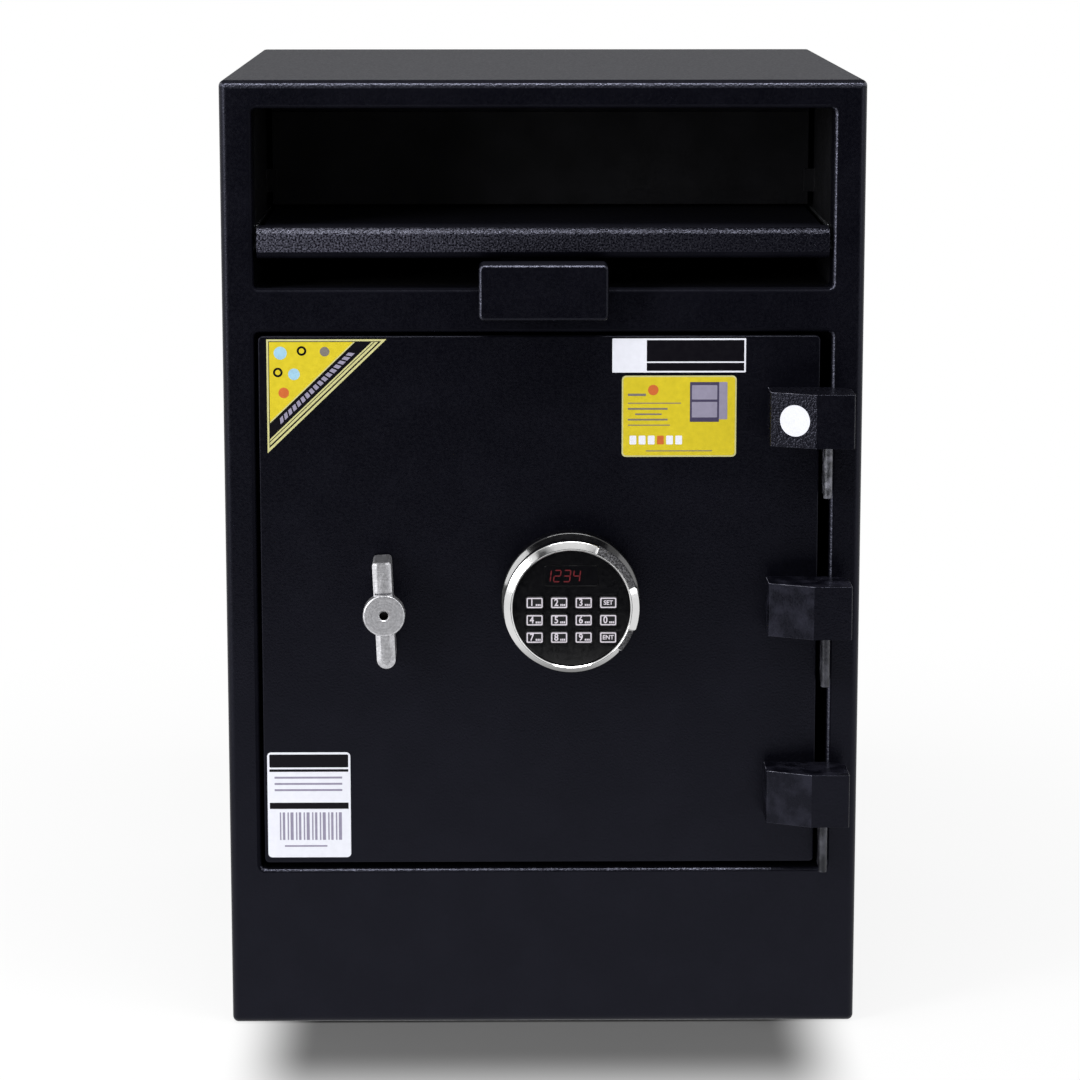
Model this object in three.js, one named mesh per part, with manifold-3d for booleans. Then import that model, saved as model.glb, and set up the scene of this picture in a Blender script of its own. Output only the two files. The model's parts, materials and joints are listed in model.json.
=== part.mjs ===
// Drop safe with a deposit drawer: a steel floor safe with an open deposit niche at the top,
// a sliding tray, a hinged vault door with turning handle, keypad lock and outside hinges.
// Millimetres, +Z up, +X to the right, +Y into the safe. The origin is the centre of the underside.

import * as THREE from 'three';
import { mergeVertices } from 'three/addons/utils/BufferGeometryUtils.js';
import Module from 'manifold-3d';

const wasm = await Module();
wasm.setup();

// Body
const bodyWidth = 530;
const bodyHeight = 800;
const bodyDepth = 540;
const shellSheet = 3;
const linerSheet = 2;
const seatGap = 0.3;
const overrun = 1;
const shellCorner = 5;
const edgeRound = 2.4;
const openingCorner = 4;

// Face of the body
const sideRim = 26.5;
const topRim = 23;
const nicheHeight = 148;
const bandHeight = 36;
const apronHeight = 136;
const returnDepth = 30;

// Inside of the body
const floorWall = 28;
const backWall = 30;
const dropBehindFlap = 14;
const dropRearGap = 36;
const dropInset = 4.5;
const chuteWall = 2;
const baffleSeat = 28;
const baffleRun = 132;
const baffleFall = 72;
const baffleSideGap = 8;

// Bolt keeper in the left jamb
const keeperWidth = 15.7;
const keeperDepth = 28;
const keeperEndMargin = 22;
const keeperSocketDepth = 12;

// Door
const doorGap = 3;
const doorLowGap = 5.5;
const doorHingeGap = 9.5;
const doorPlateThick = 8;
const doorEdgeRound = 1.2;
const panInset = 6;
const panDepth = 50;
const panSheet = 2;
const doorInsulationThick = 24;

// Hinges
const hingeAxisForward = 22;
const hingeTopMargin = 65;
const hingeLowMargin = 64.5;
const capHeight = 44.5;
const capReach = 48.7;
const capTailShare = 0.9;
const capFold = 12.1;
const capFront = 48;
const capTipThick = 31;
const capCorner = 2.5;
const lugWidth = 7;
const lugGap = 0.5;
const lugNose = 4.2;
const lugRoot = 24;
const pinRadius = 2.5;
const pinStandout = 20;
const pinRootDepth = 25;
const pinRoom = 0.05;

// Turning handle
const handleInset = 97.5;
const handleDrop = 3.25;
const hubRadius = 17.5;
const hubFront = 40;
const hubBack = 8;
const hubRound = 1.6;
const hubDimpleRadius = 3.6;
const hubDimpleDepth = 8;
const wingHalfLength = 45;
const wingWidth = 15.4;
const wingFront = 39.6;
const wingBack = 4;
const wingRound = 3.5;
const wingTopCorner = 4;
const wingLeanDegrees = 2.5;
const stemRadius = 11;
const spindleRadius = 6;
const spindleRoom = 0.4;

// Boltwork
const boltRadius = 11;
const boltEndMargin = 69.5;
const boltRoom = 0.4;
const boltSetback = 45;
const boltLength = 37.5;
const boltTipInset = 0.3;
const boltThrow = 20;
const guideThick = 14;
const barSheet = 4;
const barFlangeDepth = 23;
const barWebWidth = 26;
const barEndMargin = 30;
const barTabHeight = 52;
const barTabEnd = 18;
const crankDiscRadius = 20;
const crankDiscThick = 4;
const crankPinRadius = 3;
const crankPinRoom = 0.75;
const crankSetback = 34;
const crankToBar = 1.2;

// Lock case
const lockWidth = 90;
const lockHeight = 62;
const lockDepth = 23;
const lockNoseRadius = 6;
const lockNoseLength = 10;

// Keypad
const keypadX = 22.6;
const keypadRise = 4.25;
const padBaseRadius = 58;
const padBaseThick = 18;
const padBaseRound = 1.5;
const padBaseShoulder = 51.5;
const padBaseFall = 4;
const padStemRadius = 7;
const padHousingRadius = 51;
const padHousingThick = 19.4;
const bezelOuter = 56.5;
const bezelInner = 48.6;
const bezelBack = 38;
const bezelFront = 48;
const bezelRound = 1.5;
const bezelFall = 4;
const faceFront = 44;
const displayWidth = 44;
const displayHeight = 17;
const displayRise = 27;
const displayStand = 0.4;
const keyColumns = 4;
const keyRows = 3;
const keyWidth = 15;
const keyHeight = 10.4;
const keyCorner = 2;
const keyColumnPitch = 20.2;
const keyRowPitch = 14.6;
const keyGridDrop = 9.8;
const keyStand = 2;
const keyTravel = 1;
const keyRoom = 0.35;
const keyBackRoom = 0.4;

// Deposit drawer
const trayDrop = 98;
const traySheet = 2;
const trayLipHeight = 25;
const trayLipRound = 7;
const trayHemDepth = 16;
const trayLipSideGap = 3;
const drawerStroke = 150;
const trayTail = 5;
const traySideInset = 7.5;
const trayFlangeHeight = 18;
const runnerSheet = 2;
const runnerShelfWidth = 12;
const runnerHeight = 20;
const runnerStart = 34;
const pullWidth = 106;
const pullHeight = 46;
const pullForward = 30;
const pullRound = 2;
const pullCorner = 3.5;
const pullFaceGap = 0.5;
const pullTopDrop = 2;
const tongueWidth = 70;
const tongueThick = 12;
const tongueDepth = 34;
const tongueRiser = 8;
const tongueClearance = 3;

// Deposit flap
const flapSetback = 190;
const flapSheet = 2;
const flapAxisDrop = 9;
const flapRodRadius = 3;
const flapRodRoom = 0.05;
const flapBarrelRadius = 6;
const flapSideGap = 5;
const flapTrayGap = 3;
const stopWidth = 9;
const stopThick = 3;
const stopHeight = 20;
const stopRise = 14;
const stopGap = 0.3;

// Facets of round shapes
const roundSteps = 48;
const smallSteps = 24;
const cornerSteps = 2;

// Places worked out from the sizes above
const frontY = -bodyDepth / 2;
const halfWidth = bodyWidth / 2;
const openHalf = halfWidth - sideRim;
const nicheTop = bodyHeight - topRim;
const nicheFloor = nicheTop - nicheHeight;
const doorwayTop = nicheFloor - bandHeight;
const sill = apronHeight;
const linerOuter = openHalf + linerSheet;
const linerStart = returnDepth + seatGap;
const interiorBack = bodyDepth - backWall;
const dropStart = flapSetback + dropBehindFlap;
const dropEnd = interiorBack - dropRearGap;
const dropHalf = openHalf - dropInset;
const doorLeft = -openHalf + doorGap;
const doorRight = openHalf - doorHingeGap;
const doorLow = sill + doorLowGap;
const doorTop = doorwayTop - doorGap;
const doorMiddle = (doorLow + doorTop) / 2;
const panLeft = doorLeft + panInset;
const panRight = doorRight - panInset;
const panLow = doorLow + panInset;
const panTop = doorTop - panInset;
const panStart = doorPlateThick + seatGap;
const panEnd = panStart + panDepth;
const hingeX = openHalf - seatGap - lugWidth / 2;
const hingeY = frontY - hingeAxisForward;
const hingeTopZ = doorTop - hingeTopMargin;
const hingeLowZ = doorLow + hingeLowMargin;
const hingeHeights = [hingeTopZ, (hingeTopZ + hingeLowZ) / 2, hingeLowZ];
const handleX = panLeft + handleInset;
const handleZ = doorMiddle - handleDrop;
const keypadZ = doorMiddle + keypadRise;
const boltHeights = [panLow + boltEndMargin, doorMiddle, panTop - boltEndMargin];
const boltTipX = panLeft - boltTipInset;
const boltRootX = boltTipX + boltLength;
const crankRadius = boltThrow / Math.SQRT2;
const keyBack = bezelBack + keyTravel + keyBackRoom;
const trayTop = nicheTop - trayDrop;
const trayHalf = openHalf - traySideInset;
const trayDepth = flapSetback + drawerStroke + trayTail;
const flapAxisZ = nicheTop - flapAxisDrop;

// A closed three.js geometry as a solid that can be cut and joined.
function solidOf(geometry) {
  const bare = geometry.clone();
  bare.deleteAttribute('normal');
  bare.deleteAttribute('uv');
  const merged = mergeVertices(bare);
  const mesh = new wasm.Mesh({
    numProp: 3,
    vertProperties: new Float32Array(merged.attributes.position.array),
    triVerts: new Uint32Array(merged.index.array),
  });
  return new wasm.Manifold(mesh);
}

// A solid as a three.js geometry with one flat normal for each facet.
function geometryOf(solid) {
  const mesh = solid.getMesh();
  const geometry = new THREE.BufferGeometry();
  geometry.setAttribute('position', new THREE.BufferAttribute(mesh.vertProperties, mesh.numProp));
  geometry.setIndex(new THREE.BufferAttribute(mesh.triVerts, 1));
  const flat = geometry.toNonIndexed();
  flat.computeVertexNormals();
  return flat;
}

function join(...solids) {
  return solids.reduce((whole, next) => whole.add(next));
}

function cut(solid, ...tools) {
  return tools.reduce((rest, tool) => rest.subtract(tool), solid);
}

// A box between two places on each axis. Depths are measured behind the front face of the body.
function block([left, right], [near, far], [low, high]) {
  const geometry = new THREE.BoxGeometry(right - left, far - near, high - low);
  geometry.translate((left + right) / 2, frontY + (near + far) / 2, (low + high) / 2);
  return solidOf(geometry);
}

// A rectangle with round corners in the plane of the front face, as points of a Shape or Path.
function roundedRectangle(outline, left, right, low, high, corner) {
  const turns = [
    [right - corner, low + corner, -Math.PI / 2],
    [right - corner, high - corner, 0],
    [left + corner, high - corner, Math.PI / 2],
    [left + corner, low + corner, Math.PI],
  ];
  outline.moveTo(left + corner, low);
  for (const [x, z, start] of turns) {
    outline.absarc(x, z, corner, start, start + Math.PI / 2, false);
  }
  outline.closePath();
  return outline;
}

function panel(left, right, low, high, corner) {
  return roundedRectangle(new THREE.Shape(), left, right, low, high, corner);
}

function opening(left, right, low, high, corner) {
  return roundedRectangle(new THREE.Path(), left, right, low, high, corner);
}

// Extrusions of an outline along each axis. The outline's own x and y become the other two axes.
function extrude(shape, length, axes, curveSegments = cornerSteps) {
  const geometry = new THREE.ExtrudeGeometry(shape, { depth: length, bevelEnabled: false, curveSegments });
  geometry.applyMatrix4(new THREE.Matrix4().makeBasis(...axes));
  return geometry;
}

const unit = {
  x: new THREE.Vector3(1, 0, 0),
  y: new THREE.Vector3(0, 1, 0),
  z: new THREE.Vector3(0, 0, 1),
  minusY: new THREE.Vector3(0, -1, 0),
};

function alongY(shape, near, far, curveSegments) {
  const geometry = extrude(shape, far - near, [unit.x, unit.z, unit.minusY], curveSegments);
  geometry.translate(0, frontY + far, 0);
  return solidOf(geometry);
}

function alongX(shape, left, right, curveSegments) {
  const geometry = extrude(shape, right - left, [unit.y, unit.z, unit.x], curveSegments);
  geometry.translate(left, frontY, 0);
  return solidOf(geometry);
}

function alongZ(shape, low, high, curveSegments) {
  const geometry = extrude(shape, high - low, [unit.x, unit.y, unit.z], curveSegments);
  geometry.translate(0, frontY, low);
  return solidOf(geometry);
}

// A plate in the plane of the front face whose front edges, round the holes too, are rounded.
function softFrontPlate(shape, near, far, round) {
  const depth = far - near + round;
  const geometry = new THREE.ExtrudeGeometry(shape, {
    depth,
    bevelEnabled: true,
    bevelThickness: round,
    bevelSize: round,
    bevelOffset: -round,
    bevelSegments: cornerSteps,
    curveSegments: cornerSteps,
  });
  geometry.applyMatrix4(new THREE.Matrix4().makeBasis(unit.x, unit.z, unit.minusY));
  geometry.translate(0, frontY + near + round + depth, 0);
  geometry.computeBoundingBox();
  const { min, max } = geometry.boundingBox;
  return solidOf(geometry).intersect(block([min.x - overrun, max.x + overrun], [near - overrun, far],
    [min.z - overrun, max.z + overrun]));
}

// Rods. Each takes its radius, its two ends along its own axis and its place on the other two.
function rodAlongY(radius, near, far, x, z, steps = smallSteps) {
  const geometry = new THREE.CylinderGeometry(radius, radius, far - near, steps);
  geometry.translate(x, frontY + (near + far) / 2, z);
  return solidOf(geometry);
}

function rodAlongX(radius, left, right, depth, z, steps = smallSteps) {
  const geometry = new THREE.CylinderGeometry(radius, radius, right - left, steps);
  geometry.rotateZ(-Math.PI / 2);
  geometry.translate((left + right) / 2, frontY + depth, z);
  return solidOf(geometry);
}

function rodAlongZ(radius, low, high, x, y, steps = smallSteps) {
  const geometry = new THREE.CylinderGeometry(radius, radius, high - low, steps);
  geometry.rotateX(Math.PI / 2);
  geometry.translate(x, y, (low + high) / 2);
  return solidOf(geometry);
}

// A turned piece on an axis square to the front face. Its profile is [radius, depth] pairs, from the
// front backwards along the outside.
function turned(profile, x, z, steps = roundSteps) {
  const points = profile.map(([radius, depth]) => new THREE.Vector2(radius, depth));
  return solidOf(new THREE.LatheGeometry(points, steps)).translate([x, frontY, z]);
}

function painted(colour, roughness, metalness) {
  return new THREE.MeshStandardMaterial({ color: colour, roughness, metalness });
}

const finish = {
  powderBlack: () => painted(0x17181d, 0.55, 0.1),
  satinBlack: () => painted(0x15161a, 0.45, 0.1),
  galvanised: () => painted(0x8f9296, 0.5, 0.8),
  insulation: () => painted(0xb9b4aa, 0.95, 0),
  steel: () => painted(0xa9abae, 0.35, 1),
  zinc: () => painted(0xb6b7b4, 0.32, 1),
  chrome: () => painted(0xd5d6d8, 0.12, 1),
  glossBlack: () => painted(0x08080a, 0.12, 0),
  display: () => painted(0x300608, 0.15, 0),
  keyPlastic: () => painted(0x101014, 0.5, 0),
};

const safe = new THREE.Group();

function addPiece(name, solid, material, place = safe) {
  const mesh = new THREE.Mesh(geometryOf(solid), material);
  mesh.name = name;
  place.add(mesh);
}

// Outer shell: the wrap, the front face with its two openings, and the returns round them.
function outerShell() {
  const face = panel(-halfWidth, halfWidth, 0, bodyHeight, shellCorner);
  const openings = [[nicheFloor, nicheTop], [sill, doorwayTop]];
  const returns = openings.map(([low, high]) => {
    face.holes.push(opening(-openHalf, openHalf, low, high, openingCorner));
    const around = openHalf + shellSheet;
    const ring = panel(-around, around, low - shellSheet, high + shellSheet, openingCorner + shellSheet);
    return alongY(ring, shellSheet - overrun, returnDepth);
  });
  const inside = halfWidth - shellSheet;
  const room = panel(-inside, inside, shellSheet, bodyHeight - shellSheet, shellCorner - shellSheet);
  const hollow = cut(alongY(room, shellSheet, bodyDepth + overrun), ...returns);
  return cut(softFrontPlate(face, 0, bodyDepth, edgeRound), hollow);
}

function backPanel() {
  const half = halfWidth - shellSheet - seatGap;
  const low = shellSheet + seatGap;
  const corner = shellCorner - shellSheet;
  return alongY(panel(-half, half, low, bodyHeight - low, corner), bodyDepth - shellSheet, bodyDepth);
}

// Box liner of a compartment, open at the front.
function linerBox(low, high) {
  return cut(
    block([-linerOuter, linerOuter], [linerStart, interiorBack + linerSheet],
      [low - linerSheet, high + linerSheet]),
    block([-openHalf, openHalf], [linerStart - overrun, interiorBack], [low, high]),
  );
}

function dropHole(low, high) {
  return block([-dropHalf, dropHalf], [dropStart, dropEnd], [low, high]);
}

function vaultLiner() {
  const box = linerBox(floorWall, doorwayTop);
  const apronBack = block([-linerOuter, linerOuter], [linerStart, linerStart + linerSheet],
    [floorWall - linerSheet, sill]);
  const sockets = boltHeights.map((z) => rodAlongX(boltRadius + boltRoom + linerSheet, -linerOuter - overrun,
    -openHalf + overrun, boltSetback, z));
  const hole = dropHole(doorwayTop - overrun, doorwayTop + linerSheet + overrun);
  return cut(join(box, apronBack), hole, ...sockets);
}

function chamberLiner() {
  const box = linerBox(nicheFloor, nicheTop);
  const rodHole = rodAlongX(flapRodRadius + seatGap, -linerOuter - overrun, linerOuter + overrun, flapSetback,
    flapAxisZ);
  const stopEnd = flapSetback - flapSheet / 2 - stopGap;
  const stops = [-1, 1].map((side) => {
    const reach = [side * openHalf, side * (openHalf - stopWidth)].sort((a, b) => a - b);
    return block(reach, [stopEnd - stopThick, stopEnd], [trayTop + stopRise, trayTop + stopRise + stopHeight]);
  });
  return join(cut(box, dropHole(nicheFloor - linerSheet - overrun, nicheFloor + overrun), rodHole), ...stops);
}

function dropChute() {
  const low = doorwayTop + linerSheet + seatGap;
  const high = nicheFloor - linerSheet - seatGap;
  const tube = block([-dropHalf - chuteWall, dropHalf + chuteWall],
    [dropStart - chuteWall, dropEnd + chuteWall], [low, high]);
  return cut(tube, dropHole(low - overrun, high + overrun));
}

// Sloping plate under the drop: it hangs from the vault ceiling just ahead of the drop opening.
function bafflePlate() {
  const half = openHalf - baffleSideGap;
  const top = doorwayTop - seatGap;
  const bend = dropStart - linerSheet;
  const outline = new THREE.Shape([
    new THREE.Vector2(bend - baffleSeat, top),
    new THREE.Vector2(bend - baffleSeat, top - linerSheet),
    new THREE.Vector2(bend - linerSheet / 2, top - linerSheet),
    new THREE.Vector2(bend + baffleRun - linerSheet, top - baffleFall),
    new THREE.Vector2(bend + baffleRun, top - baffleFall),
    new THREE.Vector2(bend, top),
  ]);
  return alongX(outline, -half, half);
}

function keeperSpan() {
  return {
    x: [-linerOuter - seatGap - keeperWidth, -linerOuter - seatGap],
    depth: [boltSetback - keeperDepth / 2, boltSetback + keeperDepth / 2],
    z: [boltHeights[0] - boltRadius - keeperEndMargin, boltHeights[2] + boltRadius + keeperEndMargin],
  };
}

function boltKeeper() {
  const span = keeperSpan();
  const bar = block(span.x, span.depth, span.z);
  const sockets = boltHeights.map((z) => rodAlongX(boltRadius + boltRoom, span.x[1] - keeperSocketDepth,
    span.x[1] + overrun, boltSetback, z));
  return cut(bar, ...sockets);
}

// Insulation slabs between the shell and the liners.
function insulationSlabs() {
  const inner = openHalf + shellSheet + seatGap;
  const outer = halfWidth - shellSheet - seatGap;
  const front = shellSheet + seatGap;
  const rear = bodyDepth - shellSheet - seatGap;
  const low = shellSheet + seatGap;
  const high = bodyHeight - shellSheet - seatGap;
  const core = inner - seatGap;
  const corner = shellCorner - shellSheet;
  const linerBack = interiorBack + linerSheet + seatGap;
  const floorUnder = floorWall - linerSheet - seatGap;
  const span = keeperSpan();
  const keeperRoom = block([span.x[0] - seatGap, span.x[1] + seatGap + overrun],
    [span.depth[0] - seatGap, span.depth[1] + seatGap], [span.z[0] - seatGap, span.z[1] + seatGap]);
  return {
    insulation_left: cut(alongY(panel(-outer, -inner, low, high, corner), front, rear), keeperRoom),
    insulation_right: alongY(panel(inner, outer, low, high, corner), front, rear),
    insulation_top: block([-core, core], [front, rear], [nicheTop + shellSheet + seatGap, high]),
    insulation_base: block([-core, core], [front, rear], [low, floorUnder]),
    insulation_back: block([-core, core], [linerBack, rear], [floorUnder + seatGap, nicheTop + shellSheet]),
    insulation_band: block([-core, core], [front, dropStart - chuteWall - seatGap],
      [doorwayTop + shellSheet + seatGap, nicheFloor - shellSheet - seatGap]),
    insulation_apron: block([-core, core], [front, returnDepth],
      [floorUnder + seatGap, sill - shellSheet - seatGap]),
  };
}

// Drawer runners: an angle on each side wall of the chamber, whose shelf carries the tray's flange.
function drawerRunner(side) {
  const wall = openHalf - seatGap;
  const shelfTop = trayTop - trayFlangeHeight - seatGap;
  const rear = trayDepth;
  const across = (near, far) => [side * near, side * far].sort((a, b) => a - b);
  return join(
    block(across(wall - runnerSheet, wall), [runnerStart, rear], [shelfTop - runnerSheet,
      shelfTop - runnerSheet + runnerHeight]),
    block(across(wall - runnerShelfWidth, wall), [runnerStart, rear], [shelfTop - runnerSheet, shelfTop]),
  );
}

// Tray: flat sheet with a rolled front lip, a hem behind the lip and a flange down each side.
function drawerTray() {
  const lipHalf = openHalf - trayLipSideGap;
  const lipLow = trayTop - trayLipHeight;
  const inner = trayLipRound - traySheet;
  const lip = new THREE.Shape();
  lip.moveTo(returnDepth, trayTop);
  lip.lineTo(trayLipRound, trayTop);
  lip.absarc(trayLipRound, trayTop - trayLipRound, trayLipRound, Math.PI / 2, Math.PI, false);
  lip.lineTo(0, lipLow + trayLipRound);
  lip.absarc(trayLipRound, lipLow + trayLipRound, trayLipRound, Math.PI, Math.PI * 3 / 2, false);
  lip.lineTo(trayHemDepth, lipLow);
  lip.lineTo(trayHemDepth, lipLow + traySheet);
  lip.lineTo(trayLipRound, lipLow + traySheet);
  lip.absarc(trayLipRound, lipLow + trayLipRound, inner, Math.PI * 3 / 2, Math.PI, true);
  lip.lineTo(traySheet, trayTop - trayLipRound);
  lip.absarc(trayLipRound, trayTop - trayLipRound, inner, Math.PI, Math.PI / 2, true);
  lip.lineTo(returnDepth, trayTop - traySheet);
  lip.closePath();
  const floor = block([-trayHalf, trayHalf], [trayHemDepth, trayDepth], [trayTop - traySheet, trayTop]);
  const flanges = [-1, 1].map((side) => {
    const across = [side * trayHalf, side * (trayHalf - traySheet)].sort((a, b) => a - b);
    return block(across, [runnerStart, trayDepth], [trayTop - trayFlangeHeight, trayTop]);
  });
  return join(alongX(lip, -lipHalf, lipHalf), floor, ...flanges);
}

// Pull block in front of the band, with a tongue under the lip up to the tray's underside.
function drawerPull() {
  const top = trayTop - trayLipHeight - pullTopDrop;
  const low = top - pullHeight;
  const half = pullWidth / 2;
  const face = panel(-half, half, low, top, pullCorner);
  const boxed = softFrontPlate(face, -pullForward, -pullFaceGap, pullRound);
  const tongueLow = nicheFloor + tongueClearance;
  const tongueTop = Math.min(top, tongueLow + tongueThick);
  const across = [-tongueWidth / 2, tongueWidth / 2];
  const tongue = block(across, [-pullFaceGap - overrun, tongueDepth], [tongueLow, tongueTop]);
  const riser = block(across, [tongueDepth - tongueRiser, tongueDepth],
    [tongueLow, trayTop - traySheet - seatGap]);
  return join(boxed, tongue, riser);
}

function flapRod() {
  return rodAlongX(flapRodRadius, -linerOuter, linerOuter, flapSetback, flapAxisZ);
}

// Deposit flap: a hanging sheet with a barrel round the rod.
function depositFlap() {
  const half = openHalf - flapSideGap;
  const low = trayTop + flapTrayGap;
  const sheet = block([-half, half], [flapSetback - flapSheet / 2, flapSetback + flapSheet / 2],
    [low, flapAxisZ]);
  const barrel = rodAlongX(flapBarrelRadius, -half, half, flapSetback, flapAxisZ);
  const bore = rodAlongX(flapRodRadius + flapRodRoom, -half - overrun, half + overrun, flapSetback, flapAxisZ);
  return cut(join(sheet, barrel), bore);
}

// Door pieces
function spindleHole(near, far, room = spindleRoom) {
  return rodAlongY(spindleRadius + room, near, far, handleX, handleZ);
}

function padStemHole(near, far) {
  return rodAlongY(padStemRadius + seatGap, near, far, keypadX, keypadZ);
}

function doorPlate() {
  const shape = panel(doorLeft, doorRight, doorLow, doorTop, openingCorner);
  const plate = softFrontPlate(shape, 0, doorPlateThick, doorEdgeRound);
  const far = doorPlateThick + overrun;
  return cut(plate, spindleHole(-overrun, far), padStemHole(-overrun, far));
}

function doorPan() {
  const shape = panel(panLeft, panRight, panLow, panTop, openingCorner);
  shape.holes.push(opening(panLeft + panSheet, panRight - panSheet, panLow + panSheet, panTop - panSheet,
    openingCorner - panSheet));
  const holes = boltHeights.map((z) => rodAlongX(boltRadius + boltRoom, panLeft - overrun,
    panLeft + panSheet + overrun, boltSetback, z));
  return cut(alongY(shape, panStart, panEnd), ...holes);
}

function doorBackCover() {
  const shape = panel(panLeft, panRight, panLow, panTop, openingCorner);
  return alongY(shape, panEnd + seatGap, panEnd + seatGap + panSheet);
}

function doorInsulation() {
  const rim = panSheet + seatGap;
  const far = panStart + doorInsulationThick;
  const shape = panel(panLeft + rim, panRight - rim, panLow + rim, panTop - rim, openingCorner - panSheet);
  const slab = alongY(shape, panStart, far);
  const through = [panStart - overrun, far + overrun];
  return cut(slab, spindleHole(...through), padStemHole(...through));
}

// Hinge cap: a wedge bolted on the door that reaches over the jamb and turns on the pin below it.
function hingeCap(z) {
  const left = hingeX - capReach;
  const swing = hingeAxisForward - lugGap;
  const tailAngle = Math.acos(capTailShare);
  const right = hingeX + swing * capTailShare;
  const outline = new THREE.Shape();
  outline.moveTo(left, -seatGap);
  outline.lineTo(left, -capTipThick);
  outline.lineTo(hingeX - capFold, -capFront);
  outline.lineTo(right - capCorner, -capFront);
  outline.lineTo(right, -capFront + capCorner);
  outline.lineTo(right, -hingeAxisForward + swing * Math.sin(tailAngle));
  outline.absarc(hingeX, -hingeAxisForward, swing, tailAngle, Math.PI / 2, false);
  outline.lineTo(doorRight, -seatGap);
  outline.closePath();
  const low = z - capHeight / 2;
  const bore = rodAlongZ(pinRadius + pinRoom, low - overrun, low + pinStandout + lugGap, hingeX, hingeY);
  return cut(alongZ(outline, low, z + capHeight / 2), bore);
}

function lugSpan(z) {
  const top = z - capHeight / 2 - lugGap;
  return [top - capHeight, top];
}

// Hinge lug: a fin welded against the return beside the door, with a bore that holds the pin.
function hingeLug(z) {
  const [low, top] = lugSpan(z);
  const half = lugWidth / 2;
  const outline = new THREE.Shape();
  outline.moveTo(hingeX + half, lugRoot);
  outline.lineTo(hingeX - half, lugRoot);
  outline.lineTo(hingeX - half, -hingeAxisForward);
  outline.lineTo(hingeX + half, -hingeAxisForward);
  outline.closePath();
  const knuckle = rodAlongZ(lugNose, low, top, hingeX, hingeY);
  const bore = rodAlongZ(pinRadius + seatGap, top - pinRootDepth, top + overrun, hingeX, hingeY);
  return cut(join(alongZ(outline, low, top), knuckle), bore);
}

function hingePin(z) {
  const [, top] = lugSpan(z);
  return rodAlongZ(pinRadius, top - pinRootDepth + seatGap, top + pinStandout, hingeX, hingeY);
}

// Outline of the handle's wings: square at the top with small corners, and round at the bottom.
function wingOutline() {
  const half = wingWidth / 2;
  const outline = new THREE.Shape();
  const turns = [
    [-half, -wingHalfLength, half, Math.PI],
    [half, -wingHalfLength, half, Math.PI * 3 / 2],
    [half, wingHalfLength, wingTopCorner, 0],
    [-half, wingHalfLength, wingTopCorner, Math.PI / 2],
  ];
  for (const [x, z, corner, start] of turns) {
    outline.absarc(x - Math.sign(x) * corner, z - Math.sign(z) * corner, corner, start, start + Math.PI / 2,
      false);
  }
  outline.closePath();
  return outline;
}

// Turning handle: a round hub with two deep wings and a stem that stands on the door.
function turningHandle() {
  const hub = turned([
    [0, -hubFront],
    [hubRadius - hubRound, -hubFront],
    [hubRadius, -hubFront + hubRound],
    [hubRadius, -hubBack],
    [stemRadius, -hubBack],
    [stemRadius, -seatGap],
    [0, -seatGap],
  ], handleX, handleZ);
  const wing = softFrontPlate(wingOutline(), -wingFront, -wingBack, wingRound)
    .translate([0, -frontY, 0])
    .rotate([0, -wingLeanDegrees, 0])
    .translate([handleX, frontY, handleZ]);
  const dimple = rodAlongY(hubDimpleRadius, -hubFront - overrun, -hubFront + hubDimpleDepth, handleX, handleZ);
  return cut(join(hub, wing), dimple);
}

// Crank spindle: the shaft through the door with a disc and an offset pin at its inner end.
function crankSpindle() {
  const shaft = rodAlongY(spindleRadius, 0, crankSetback + overrun, handleX, handleZ);
  const disc = rodAlongY(crankDiscRadius, crankSetback, crankSetback + crankDiscThick, handleX, handleZ,
    roundSteps);
  const offset = crankRadius / Math.SQRT2;
  const pinEnd = crankSetback + crankDiscThick + crankToBar + barSheet;
  const pin = rodAlongY(crankPinRadius, crankSetback, pinEnd, handleX + offset, handleZ - offset);
  return join(shaft, disc, pin);
}

// Bolt bar: an angle that pushes the bolts, with a slotted tab round the crank pin.
function boltBar() {
  const near = boltRootX + seatGap;
  const low = boltHeights[0] - barEndMargin;
  const high = boltHeights[2] + barEndMargin;
  const webStart = crankSetback + crankDiscThick + crankToBar;
  const flange = block([near, near + barSheet],
    [boltSetback - barFlangeDepth / 2, boltSetback + barFlangeDepth / 2], [low, high]);
  const web = block([near, near + barWebWidth], [webStart, webStart + barSheet], [low, high]);
  const offset = crankRadius / Math.SQRT2;
  const pinX = handleX + offset;
  const tab = block([near, pinX + barTabEnd], [webStart, webStart + barSheet],
    [handleZ - barTabHeight / 2, handleZ + barTabHeight / 2]);
  const pinRoom = crankPinRadius + crankPinRoom;
  const slot = block([pinX - pinRoom, pinX + pinRoom], [webStart - overrun, webStart + barSheet + overrun],
    [handleZ - crankRadius - pinRoom, handleZ - offset + pinRoom]);
  return cut(join(flange, web, tab), slot);
}

function lockingBolt(z) {
  return rodAlongX(boltRadius, boltTipX, boltRootX, boltSetback, z);
}

function boltGuide() {
  const left = panLeft + panSheet + seatGap;
  const bar = block([left, left + guideThick], [boltSetback - barFlangeDepth / 2, panEnd],
    [boltHeights[0] - barEndMargin, boltHeights[2] + barEndMargin]);
  const holes = boltHeights.map((z) => rodAlongX(boltRadius + boltRoom, left - overrun,
    left + guideThick + overrun, boltSetback, z));
  return cut(bar, ...holes);
}

function lockCase() {
  const near = panStart + doorInsulationThick + seatGap;
  const half = lockWidth / 2;
  const box = block([keypadX - half, keypadX + half], [near, near + lockDepth],
    [keypadZ - lockHeight / 2, keypadZ + lockHeight / 2]);
  const nose = rodAlongX(lockNoseRadius, keypadX - half - lockNoseLength, keypadX - half + overrun,
    near + lockDepth / 2, keypadZ);
  return join(box, nose);
}

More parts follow.
